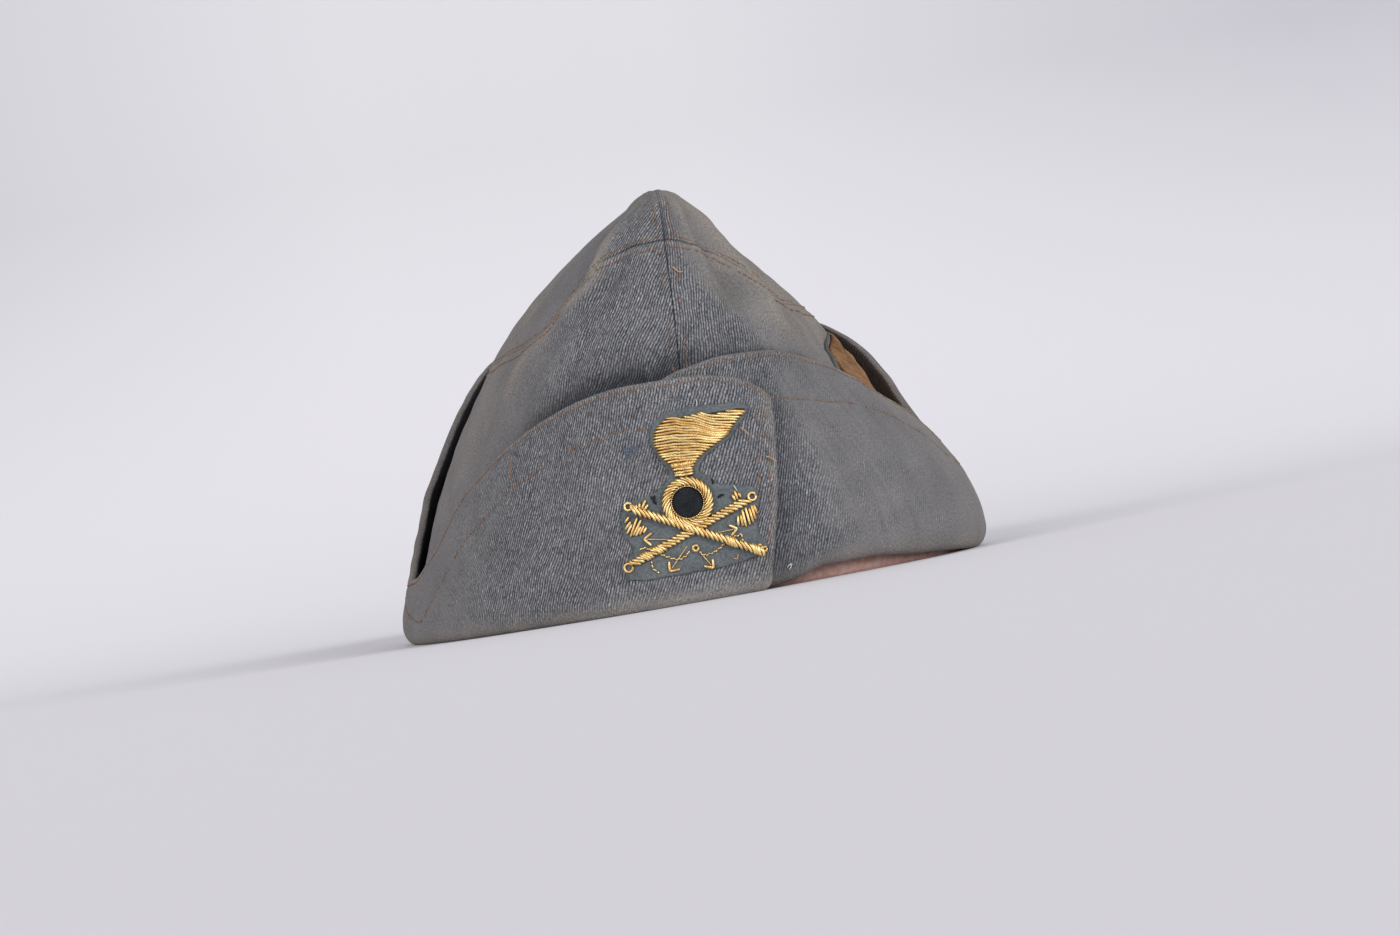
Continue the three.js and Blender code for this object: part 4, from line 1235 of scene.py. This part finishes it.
# loose threads and tufts of the badge's stitching as x, z and height above the cloth, and darns
strays = {
    "tan": [
        [(13.4, 46.6, 0.3), (14.6, 45.4, 0.9), (15.4, 44.2, 0.5)],
        [(19, 37.4, 0.2), (20.6, 36.6, 0.8), (21.8, 35.4, 0.9)],
        [(4.6, 10.6, 0.9), (5.6, 10.2, 1.3), (6.2, 11.4, 1.1)],
    ],
    "white": [
        [(2.4, 56.9, 0.2), (2.5, 55.8, 0.5), (2.2, 54.7, 0.3)],
        [(9.2, 28.9, 1), (8.7, 30.1, 1.2), (8.4, 30.9, 0.8)],
        [(-3.2, 38.6, 1.8), (-3.4, 39.3, 2), (-3.2, 39.9, 1.7)],
    ],
    "black": [
        [(-15.2, 31.8, 0.5), (-14.6, 30.6, 1.1), (-14, 29.2, 0.8)],
        [(-14.8, 29.8, 0.8), (-14.3, 30.9, 1.2), (-14.1, 31.9, 0.5)],
        [(3.4, 28.1, 0.7), (4.2, 28.6, 1.2), (5.2, 28.7, 0.7)],
        [(2.6, 33.6, 0.3), (2.8, 32.8, 0.8), (2.7, 32.1, 0.5)],
    ],
    "nick": [
        [(19.8, 5.2, 0.1), (20.6, 5.9, 0.5), (21.4, 5.7, 0.1)],
        [(20.2, 4.6, 0.05), (20.9, 5.3, 0.35), (21, 6.3, 0.05)],
    ],
    "radius": 0.16,
    "blackRadius": 0.3,
    "darns": [(-18.2, 45.7, 4.2, 3.4), (-1.8, 58.2, 3, 1.6)],
    "darnRadius": 0.13,
}


# the nick's threads lie on the left turn-up and the others on the right one
def looseThreads(materials):
    for name, material in materials.items():
        ends, at = np.linspace(0, 1, 3), np.linspace(0, 1, 12)
        flat = [routeThrough(route, ends, at) for route in strays[name]]
        radius = strays["blackRadius" if name == "black" else "radius"]
        flap = 1 if name == "nick" else -1
        wires(name + "_loose_threads", flat, radius, material, flap=flap)


# short upright threads crossed by level ones
def darns(material):
    draw = np.random.default_rng(58)
    share = np.linspace(0, 1, 7)
    flat = []
    for x, z, wide, tall in strays["darns"]:
        for k in range(int(wide * 1.6)):
            left = x - wide / 2 + k / 1.6
            drop = tall * draw.uniform(0.5, 1)
            rise = 0.02 + 0.14 * np.sin(share * math.pi)
            flat.append(np.column_stack([left + share * 0.3, z - drop / 2 + drop * share, rise]))
        for k in range(int(tall * 1.2)):
            low = z - tall / 2 + k / 1.2
            rise = 0.06 + 0.1 * np.sin(share * 9)
            flat.append(np.column_stack([x - wide / 2 + wide * share, low + 0 * share, rise]))
    wires("darning_threads", flat, strays["darnRadius"], material)


# one long thread over the crown's front seam
def crownThread(material):
    angle = np.linspace(1.6, 5.4, 14)
    height = 96.4 - 1.1 * np.sin(np.linspace(0, 2.6, 14)) - np.linspace(0, 1.2, 14)
    out = outwardAt(angle, height)
    rise = 0.25 + 0.3 * np.sin(np.linspace(0, math.pi, 14))
    route = crownFace(angle, height, 1) + out * rise[:, None]
    tubePiece("crown_loose_thread", route[None], out[None], 0.2, material, sides=7)


# the leather sweatband, with a row of stitches inside, and the cotton beside the ear
sweatband = {
    "height": 34,
    "off": -2.6,
    "wall": 1.3,
    "rowBelowTop": 3,
    "stitchPitch": 3,
    "stitchLength": 2.1,
    "thread": 0.22,
}


# the band stands inside the rim, with its row of stitches on the inner face
def leatherBand(material, thread):
    columns, rows = 520, 30
    angle = np.linspace(-180, 180, columns, endpoint=False)[None, :]
    height = np.linspace(0, 1, rows)[:, None] * sweatband["height"] + 0 * angle
    along = angle * mmPerDegree["rim"]
    waves = 0.12 * softNoise(along, height, 16, 81) + 0.05 * softNoise(along, height, 5, 82)
    stitched = sweatband["height"] - sweatband["rowBelowTop"]
    off = sweatband["off"] - 0.15 + waves - 0.25 * hump(height, stitched, 0.5)
    base = formPoint(angle, height)
    out = outwardAt(angle + 0 * height, height)
    wall = sweatband["wall"] - 0.2 * (1 - np.clip((sweatband["height"] - height) / 0.8, 0, 1))
    outer = base + out * off[..., None]
    inner = base + out * (off - wall + 0.25 * hump(height, 1.4, 1.6))[..., None]
    grid = np.concatenate([outer, inner[::-1]], 0)
    faces = gridFaces(len(grid), columns, 0, False, closedRows=True, closedColumns=True)
    points = grid.reshape(-1, 3)
    attributes = {"cloth": layOf(*clothLengths(grid))}
    meshObject("sweatband_leather", points, faces, attributes, material, ["sweatband"])
    angle = np.linspace(-179.5, 179.5, 900)
    height = np.full_like(angle, stitched)
    out = outwardAt(angle, height)
    points = formPoint(angle, height) + out * (sweatband["off"] - sweatband["wall"] - 0.3)
    routes, ups = stitchRoutes(points, -out, sweatband["stitchPitch"], sweatband["stitchLength"], 83)
    tubePiece("sweatband_stitches", routes, ups, sweatband["thread"], thread, sides=6, ends=0.5)


# the cotton's foot and top by angle, and the crown's folded edge above and in front of it
liningPatch = {
    "angle": [61, 66, 73, 81, 90, 103, 116],
    "foot": [54, 50, 44, 40, 38, 38, 38],
    "top": [62.5, 66.5, 70.5, 73.5, 75.5, 74.5, 66],
    "off": 0.3,
    "wall": 0.8,
}
edgeFold = {
    "route": [(54, 52), (56, 58), (58.5, 62.5), (62, 65.6), (68, 69.2), (76, 72.8), (85, 75.2)],
    "radius": 0.95,
}


def cottonPatch(material):
    share = np.linspace(0, 1, 50)[:, None]
    angle = np.linspace(liningPatch["angle"][0], liningPatch["angle"][-1], 90)[None, :] + 0 * share
    foot = tableValue(liningPatch, "angle", angle, "foot")
    top = tableValue(liningPatch, "angle", angle, "top")
    height = mix(foot, top, share)
    rumple = 0.22 * softNoise(angle * mmPerDegree["rim"], height, 9, 91) + 0.2
    out = outwardAt(angle, height)
    base = crownFace(angle, height, 1)
    outer = base + out * (liningPatch["off"] + liningPatch["wall"] + rumple)[..., None]
    inner = base + out * (liningPatch["off"] + 0.3 * rumple)[..., None]
    points, faces = shellMesh(outer, inner, 1)
    attributes = {"cloth": np.tile(layOf(*clothLengths(outer)), (2, 1))}
    meshObject("cotton_patch", points, faces, attributes, material, ["lining_patch"])


def crownEdgeFold(material):
    at = np.linspace(0, 1, 70)
    angle, height = routeThrough(edgeFold["route"], np.linspace(0, 1, len(edgeFold["route"])), at).T
    out = outwardAt(angle, height)
    route = crownFace(angle, height, 1) + out * 0.25
    radius = edgeFold["radius"] * mix(1, 0.2, smoothStep(0.45, 1, at))
    tubePiece("crown_edge_fold", route[None], out[None], radius, material, sides=12)


# shader building blocks
def linear(red, green, blue):
    shares = [c / 255 for c in (red, green, blue)]
    return [c / 12.92 if c <= 0.04045 else ((c + 0.055) / 1.055) ** 2.4 for c in shares] + [1.0]


def newGroup(name, inputs, outputs):
    tree = bpy.data.node_groups.new(name, "ShaderNodeTree")
    for label, kind, *value in inputs:
        socket = tree.interface.new_socket(name=label, in_out="INPUT", socket_type="NodeSocket" + kind)
        if value:
            socket.default_value = value[0]
    for label, kind in outputs:
        tree.interface.new_socket(name=label, in_out="OUTPUT", socket_type="NodeSocket" + kind)
    return tree, tree.nodes.new("NodeGroupInput").outputs, tree.nodes.new("NodeGroupOutput").inputs


def wire(tree, source, target):
    if hasattr(source, "links"):
        tree.links.new(source, target)
    else:
        target.default_value = source


def calc(tree, operation, a, b=None, c=None, clamp=False):
    node = tree.nodes.new("ShaderNodeMath")
    node.operation = operation
    node.use_clamp = clamp
    for i, value in enumerate((a, b, c)):
        if value is not None:
            wire(tree, value, node.inputs[i])
    return node.outputs[0]


def scaled(tree, vector, share):
    node = tree.nodes.new("ShaderNodeVectorMath")
    node.operation = "SCALE"
    wire(tree, vector, node.inputs[0])
    wire(tree, share, node.inputs["Scale"])
    return node.outputs[0]


def blendColour(tree, share, a, b):
    node = tree.nodes.new("ShaderNodeMix")
    node.data_type = "RGBA"
    wire(tree, share, node.inputs["Factor"])
    wire(tree, a, node.inputs["A"])
    wire(tree, b, node.inputs["B"])
    return node.outputs["Result"]


def noiseAt(tree, vector, scale, detail=2.0, rough=0.5):
    node = tree.nodes.new("ShaderNodeTexNoise")
    node.inputs["Scale"].default_value = scale
    node.inputs["Detail"].default_value = detail
    node.inputs["Roughness"].default_value = rough
    tree.links.new(vector, node.inputs["Vector"])
    return node.outputs["Fac"]


def remap(tree, value, low, high, toLow=0.0, toHigh=1.0):
    node = tree.nodes.new("ShaderNodeMapRange")
    wire(tree, value, node.inputs["Value"])
    for label, number in (("From Min", low), ("From Max", high), ("To Min", toLow), ("To Max", toHigh)):
        wire(tree, number, node.inputs[label])
    return node.outputs["Result"]


def join(tree, x, y, z):
    node = tree.nodes.new("ShaderNodeCombineXYZ")
    for i, value in enumerate((x, y, z)):
        wire(tree, value, node.inputs[i])
    return node.outputs[0]


def apart(tree, vector):
    node = tree.nodes.new("ShaderNodeSeparateXYZ")
    tree.links.new(vector, node.inputs[0])
    return node.outputs


# diagonal ribs of twill, made of short floats, with some ribs and stretches brighter than others
def makeTwill():
    tree, given, out = newGroup(
        "twillWeave",
        [("Cloth", "Vector"), ("Pitch", "Float", 0.87), ("Lean", "Float", 12.0), ("Wobble", "Float", 0.3)],
        [("Rib", "Float"), ("Float", "Float"), ("Streak", "Float")],
    )
    x, y, _ = apart(tree, given["Cloth"])
    turn = calc(tree, "RADIANS", given["Lean"])
    cosine, sine = calc(tree, "COSINE", turn), calc(tree, "SINE", turn)
    across = calc(tree, "SUBTRACT", calc(tree, "MULTIPLY", x, cosine), calc(tree, "MULTIPLY", y, sine))
    along = calc(tree, "ADD", calc(tree, "MULTIPLY", x, sine), calc(tree, "MULTIPLY", y, cosine))
    slow = calc(tree, "SUBTRACT", noiseAt(tree, given["Cloth"], 0.07, 1.0), 0.5)
    fast = calc(tree, "SUBTRACT", noiseAt(tree, given["Cloth"], 0.9, 2.0), 0.5)
    warp = calc(tree, "MULTIPLY_ADD", slow, 9.0, fast)
    across = calc(tree, "MULTIPLY_ADD", warp, given["Wobble"], across)
    phase = calc(tree, "DIVIDE", across, given["Pitch"])
    spot = join(tree, calc(tree, "MULTIPLY", across, 0.9), calc(tree, "MULTIPLY", along, 0.6), 0.0)
    phase = calc(tree, "MULTIPLY_ADD", noiseAt(tree, spot, 1.0, 2.0, 0.6), 0.9, phase)
    wave = calc(tree, "COSINE", calc(tree, "MULTIPLY", phase, 2 * math.pi))
    index = calc(tree, "FLOOR", calc(tree, "ADD", phase, 0.5))
    step = calc(tree, "MULTIPLY_ADD", index, 0.41, calc(tree, "DIVIDE", along, 1.45))
    beads = calc(tree, "COSINE", calc(tree, "MULTIPLY", step, 2 * math.pi))
    place = join(tree, calc(tree, "MULTIPLY", index, 3.71), calc(tree, "MULTIPLY", along, 0.42), 0.0)
    wire(tree, calc(tree, "MULTIPLY_ADD", wave, 0.5, 0.5), out["Rib"])
    wire(tree, calc(tree, "MULTIPLY_ADD", beads, 0.5, 0.5), out["Float"])
    wire(tree, noiseAt(tree, place, 1.0, 3.0, 0.75), out["Streak"])
    return tree


# wool colour from the weave and the cloth's wear and painted shade: ribs worn off, rubbed brown, or darkened
# as painted shade
def makeWoolColour():
    weave = [(word, "Float", 0.5) for word in ("Rib", "Float", "Streak")]
    places = [("Age", "Vector"), ("Cloth", "Vector")]
    colours = [(word, "Color") for word in ("Dark", "Base", "Light", "Rubbed", "Deep")]
    made = [("Color", "Color"), ("Height", "Float")]
    tree, given, out = newGroup("woolColour", weave + places + colours, made)
    lay = given["Cloth"]
    worn, rubbed, deep = apart(tree, given["Age"])
    blotch = noiseAt(tree, lay, 0.16, 3.0, 0.6)
    ribShare = calc(tree, "SUBTRACT", remap(tree, blotch, 0.3, 0.7, 1.15, 0.7), worn, clamp=True)
    streak = remap(tree, given["Streak"], 0.3, 0.7, -0.1, 1.3)
    bright = calc(tree, "MULTIPLY", calc(tree, "MULTIPLY_ADD", given["Float"], 0.4, 0.6), streak, clamp=True)
    ribColour = blendColour(tree, bright, given["Base"], given["Light"])
    ribbed = blendColour(tree, calc(tree, "POWER", given["Rib"], 0.85), given["Dark"], ribColour)
    plain = blendColour(tree, 0.2, blendColour(tree, 0.1, given["Base"], given["Light"]), given["Rubbed"])
    woven = blendColour(tree, ribShare, plain, ribbed)
    fleck = noiseAt(tree, lay, 1.3, 4.0, 0.75)
    brown = calc(tree, "MULTIPLY", rubbed, remap(tree, fleck, 0.35, 0.65, 0.45, 1.0), clamp=True)
    toned = blendColour(tree, brown, woven, given["Rubbed"])
    contrast = calc(tree, "MULTIPLY_ADD", ribShare, 0.12, 0.28)
    gain = calc(tree, "MULTIPLY", contrast, 6.0)
    speckle = calc(tree, "MULTIPLY_ADD", calc(tree, "SUBTRACT", fleck, 0.5), gain, 1.0)
    cloudy = remap(tree, noiseAt(tree, lay, 0.045, 3.0, 0.6), 0.3, 0.7, 0.88, 1.1)
    shaded = scaled(tree, toned, calc(tree, "MULTIPLY", speckle, cloudy))
    # the deep colour blended in here is painted shade
    wire(tree, blendColour(tree, calc(tree, "MULTIPLY", deep, 0.8), shaded, given["Deep"]), out["Color"])
    ribHeight = calc(tree, "MULTIPLY", calc(tree, "MULTIPLY", given["Rib"], ribShare), 0.9)
    wire(tree, calc(tree, "MULTIPLY_ADD", noiseAt(tree, lay, 2.6, 2.0, 0.8), 0.6, ribHeight), out["Height"])
    return tree


# fibres and grain for felt, cotton, thread and leather
def makeGrain():
    sizes = [("Size", "Float", 1.0), ("Contrast", "Float", 1.0)]
    colours = [("Low", "Color"), ("High", "Color")]
    made = [("Color", "Color"), ("Height", "Float")]
    tree, given, out = newGroup("grain", [("Vector", "Vector"), *sizes, *colours], made)
    spot = scaled(tree, given["Vector"], calc(tree, "DIVIDE", 1.0, given["Size"]))
    fine = noiseAt(tree, spot, 1.0, 4.0, 0.65)
    broad = noiseAt(tree, spot, 0.13, 2.0, 0.5)
    both = calc(tree, "MULTIPLY_ADD", fine, 0.65, calc(tree, "MULTIPLY", broad, 0.35))
    gain = calc(tree, "MULTIPLY", given["Contrast"], 3.2)
    share = calc(tree, "MULTIPLY_ADD", calc(tree, "SUBTRACT", both, 0.5), gain, 0.5, clamp=True)
    wire(tree, blendColour(tree, share, given["Low"], given["High"]), out["Color"])
    wire(tree, fine, out["Height"])
    return tree


groups = {"twill": makeTwill(), "wool": makeWoolColour(), "grain": makeGrain()}


def newMaterial(name, roughness, metallic=0.0, gloss=0.5):
    material = bpy.data.materials.new(name)
    material.use_nodes = True
    shader = material.node_tree.nodes["Principled BSDF"]
    shader.inputs["Roughness"].default_value = roughness
    shader.inputs["Metallic"].default_value = metallic
    shader.inputs["Specular IOR Level"].default_value = gloss
    return material, material.node_tree


# give a material its colour and its relief, depth in millimetres
def dress(material, colour, height=None, depth=0.0):
    tree = material.node_tree
    shader = tree.nodes["Principled BSDF"]
    tree.links.new(colour, shader.inputs["Base Color"])
    if height is not None:
        bump = tree.nodes.new("ShaderNodeBump")
        bump.inputs["Distance"].default_value = depth * metresPerMm
        tree.links.new(height, bump.inputs["Height"])
        tree.links.new(bump.outputs["Normal"], shader.inputs["Normal"])
    return material


def useGroup(tree, group, **values):
    node = tree.nodes.new("ShaderNodeGroup")
    node.node_tree = groups[group]
    for label, value in values.items():
        wire(tree, value, node.inputs[label])
    return node.outputs


def attribute(tree, name, vector=False):
    node = tree.nodes.new("ShaderNodeAttribute")
    node.attribute_type = "GEOMETRY"
    node.attribute_name = name
    return node.outputs["Vector" if vector else "Fac"]


# a place in the piece, in millimetres
def spotInside(tree):
    node = tree.nodes.new("ShaderNodeTexCoord")
    return scaled(tree, node.outputs["Object"], 1 / metresPerMm)


wool = {
    "dark": linear(47, 50, 57),
    "base": linear(102, 102, 106),
    "light": linear(168, 168, 172),
    "rubbed": linear(144, 136, 127),
    "deep": linear(42, 46, 54),
    "pitch": 0.85,
    "ribDepth": 0.16,
}


def woolMaterial(name, lean):
    material, tree = newMaterial(name, 0.95, gloss=0.15)
    lay = attribute(tree, "cloth", True)
    weave = useGroup(tree, "twill", Cloth=lay, Pitch=wool["pitch"], Lean=float(lean), Wobble=0.3)
    colours = {word.capitalize(): wool[word] for word in ("dark", "base", "light", "rubbed", "deep")}
    weaving = {word: weave[word] for word in ("Rib", "Float", "Streak")}
    made = useGroup(tree, "wool", Age=attribute(tree, "wearAndShade", True), Cloth=lay, **weaving, **colours)
    return dress(material, made["Color"], made["Height"], wool["ribDepth"])


# threads, felt, padding, leather and plain cloth: how coarse the grain is, its two colours,
# the roughness, the relief's depth, and whether the grain runs through the piece or lies on its cloth
finishes = {
    "brownThread": (0.5, (102, 75, 58), (158, 121, 94), 0.85, 0.04, True),
    "tanThread": (0.5, (160, 128, 96), (206, 174, 138), 0.8, 0.04, True),
    "whiteThread": (0.5, (170, 172, 174), (222, 222, 220), 0.8, 0.04, True),
    "blackThread": (0.4, (16, 17, 20), (46, 46, 50), 0.85, 0.04, True),
    "greyThread": (0.4, (64, 74, 88), (132, 142, 156), 0.85, 0.04, True),
    "greyFelt": (0.8, (74, 80, 84), (116, 121, 124), 0.95, 0.12, False),
    # the padding's dark brown is painted shade between the wires
    "goldPadding": (0.6, (40, 26, 10), (84, 56, 24), 0.85, 0.05, True),
    "blackCloth": (0.5, (12, 13, 16), (42, 44, 50), 0.9, 0.1, False),
    # the leather's own pinkish brown, lightened as painted light for the light thrown up under the lifted
    # fold
    "leatherWithPaintedLight": (2.2, (146, 106, 94), (184, 154, 146), 0.6, 0.12, False),
    "edgeCloth": (0.6, (62, 66, 70), (112, 108, 104), 0.95, 0.1, True),
}


def grainMaterial(name):
    size, low, high, roughness, depth, inside = finishes[name]
    material, tree = newMaterial(name, roughness, gloss=0.25)
    vector = spotInside(tree) if inside else attribute(tree, "cloth", True)
    made = useGroup(tree, "grain", Vector=vector, Size=size, Low=linear(*low), High=linear(*high))
    return dress(material, made["Color"], made["Height"], depth)


cotton = {
    "low": linear(104, 70, 44),
    "high": linear(176, 134, 92),
    "grain": 2.4,
    "pitch": 0.62,
    "lean": -4.0,
    "depth": 0.1,
}


# plain cotton: fine threads over an uneven ground
def cottonMaterial():
    material, tree = newMaterial("tanCotton", 0.9, gloss=0.2)
    lay = attribute(tree, "cloth", True)
    colours = {"Low": cotton["low"], "High": cotton["high"]}
    ground = useGroup(tree, "grain", Vector=lay, Size=cotton["grain"], Contrast=1.2, **colours)
    weave = useGroup(tree, "twill", Cloth=lay, Pitch=cotton["pitch"], Lean=cotton["lean"], Wobble=0.2)
    thread = calc(tree, "MULTIPLY_ADD", weave["Float"], 0.25, 0.55)
    thread = calc(tree, "MULTIPLY_ADD", weave["Rib"], 0.35, thread)
    raised = calc(tree, "MULTIPLY", weave["Rib"], weave["Float"])
    return dress(material, scaled(tree, ground["Color"], thread), raised, cotton["depth"])


gold = {
    "low": linear(214, 164, 92),
    "high": linear(255, 230, 166),
    # the painted shade down the wires' sides
    "gap": linear(92, 60, 24),
    "coilPitch": 0.3,
    "coilDepth": 0.008,
}


# coiled gold wire: tarnished in patches, with painted shade down the sides of each strand where it meets the
# next
def goldMaterial():
    material, tree = newMaterial("goldBullion", 0.36, metallic=0.85)
    tarnish = noiseAt(tree, spotInside(tree), 0.55, 3.0, 0.7)
    mixed = calc(tree, "MULTIPLY_ADD", attribute(tree, "shade"), 0.3, tarnish)
    bright = blendColour(tree, remap(tree, mixed, 0.4, 0.85), gold["low"], gold["high"])
    crest = remap(tree, attribute(tree, "crest"), 0.3, 0.85)
    phase = calc(tree, "MULTIPLY", attribute(tree, "along"), 2 * math.pi / gold["coilPitch"])
    coil = calc(tree, "SINE", phase)
    return dress(material, blendColour(tree, crest, gold["gap"], bright), coil, gold["coilDepth"])


# the stage and the lights, in metres
studio = {
    "floor": linear(229, 227, 232),
    "wall": linear(210, 209, 213),
    # the wall's sides, darker as painted shadow
    "wallEdge": linear(189, 187, 194),
    "width": 5.0,
    "near": -2.6,
    "bendFrom": 0.5,
    "bendRadius": 0.9,
    "tall": 2.6,
    "air": 0.35,
    "airColour": (0.96, 0.97, 1.0, 1.0),
    "darkensAside": (0.12, 0.55),
    "floorToWall": (0.02, 0.3),
    "lamps": [
        ("leftLamp", (-0.85, -1, 0.5), 1.28, 32, (1, 0.985, 0.96)),
        ("rightLamp", (0.95, -1, 0.6), 1.65, 32, (0.98, 0.99, 1)),
        ("topLamp", (0.1, 0.25, 1), 0.36, 60, (1, 1, 1)),
    ],
}


# paper that darkens a little towards the sides of the wall, as painted shadow
def paperMaterial():
    material, tree = newMaterial("paper", 0.9)
    x, _, z = apart(tree, tree.nodes.new("ShaderNodeTexCoord").outputs["Object"])
    aside = remap(tree, calc(tree, "ABSOLUTE", x), *studio["darkensAside"])
    wall = blendColour(tree, aside, studio["wall"], studio["wallEdge"])
    raised = remap(tree, z, *studio["floorToWall"])
    return dress(material, blendColour(tree, raised, studio["floor"], wall))


# one sheet of paper: the floor, a bend and the wall behind
def sweep():
    start, bend = studio["bendFrom"], studio["bendRadius"]
    turns = np.linspace(0, math.pi / 2, 24)
    curve = [(start + bend * math.sin(t), bend * (1 - math.cos(t))) for t in turns]
    route = [(studio["near"], 0.0), *curve, (start + bend, studio["tall"])]
    half = studio["width"] / 2
    points = [(side * half, y, z) for y, z in route for side in (-1, 1)]
    faces = [(2 * k, 2 * k + 1, 2 * k + 3, 2 * k + 2) for k in range(len(route) - 1)]
    mesh = bpy.data.meshes.new("sweep")
    mesh.from_pydata(points, [], faces)
    mesh.polygons.foreach_set("use_smooth", [True] * len(faces))
    mesh.materials.append(paperMaterial())
    made = bpy.data.objects.new("sweep", mesh)
    bpy.context.scene.collection.objects.link(made)


# a broad lamp far away: its direction, its strength and how soft its shadows are, in degrees
def softLamp(name, towards, strength, softness, colour):
    lamp = bpy.data.lights.new(name, "SUN")
    lamp.energy = strength
    lamp.angle = math.radians(softness)
    lamp.color = colour
    made = bpy.data.objects.new(name, lamp)
    made.matrix_world = Vector(towards).to_track_quat("Z", "Y").to_matrix().to_4x4()
    bpy.context.scene.collection.objects.link(made)


def lights():
    world = bpy.data.worlds.new("studio")
    bpy.context.scene.world = world
    world.use_nodes = True
    back = world.node_tree.nodes["Background"]
    back.inputs["Color"].default_value = studio["airColour"]
    back.inputs["Strength"].default_value = studio["air"]
    for name, towards, strength, softness, colour in studio["lamps"]:
        softLamp(name, towards, strength, softness, colour)


# the camera: where it stands, what it looks at, how far it is turned, and its lens
view = {"from": (-59.3, -998.2, 22), "to": (7.3, 0, 39.3), "roll": 10, "lens": 81}


def camera():
    lens = bpy.data.cameras.new("camera")
    lens.lens = view["lens"]
    lens.sensor_width = 36
    lens.clip_start = 0.01
    lens.clip_end = 20
    made = bpy.data.objects.new("camera", lens)
    place = Vector(toFrame(np.array(view["from"], float)))
    ahead = (Vector(toFrame(np.array(view["to"], float))) - place).normalized()
    right = ahead.cross(Vector((0, 0, 1))).normalized()
    up = right.cross(ahead)
    turn = math.radians(view["roll"])
    across = right * math.cos(turn) - up * math.sin(turn)
    upward = right * math.sin(turn) + up * math.cos(turn)
    made.matrix_world = Matrix.Translation(place) @ Matrix((across, upward, -ahead)).transposed().to_4x4()
    bpy.context.scene.collection.objects.link(made)
    bpy.context.scene.camera = made


threads = {colour: grainMaterial(colour + "Thread") for colour in ("brown", "tan", "white", "black", "grey")}
bullion = goldMaterial()

crownPanel(-1, woolMaterial("woolCrownRight", 27.5), ["crown_right"])
crownPanel(1, woolMaterial("woolCrownLeft", 4.5), ["crown_left"])
topPanel(-1, woolMaterial("woolTopRight", 35), ["top_right"])
topPanel(1, woolMaterial("woolTopLeft", 0), ["top_left"])
turnUp(-1, woolMaterial("woolTurnUpRight", 13), ["turn_up_right"])
turnUp(1, woolMaterial("woolTurnUpLeft", 20), ["turn_up_left"])
stitches(threads["brown"])
print("cloth and stitches made")
badgeFelt(grainMaterial("greyFelt"))
badgePads(grainMaterial("goldPadding"))
badgeFlame(bullion)
badgeRing(bullion)
badgeBarrels(bullion)
badgeMotifs(bullion)
badgeDisc(grainMaterial("blackCloth"))
print("badge made")
looseThreads({**{name: threads[name] for name in ("tan", "white", "black")}, "nick": threads["white"]})
darns(threads["grey"])
crownThread(threads["tan"])
leatherBand(grainMaterial("leatherWithPaintedLight"), threads["tan"])
cottonPatch(cottonMaterial())
crownEdgeFold(grainMaterial("edgeCloth"))
print("lining made")

sweep()
lights()
camera()
bpy.context.scene.view_settings.view_transform = "Standard"
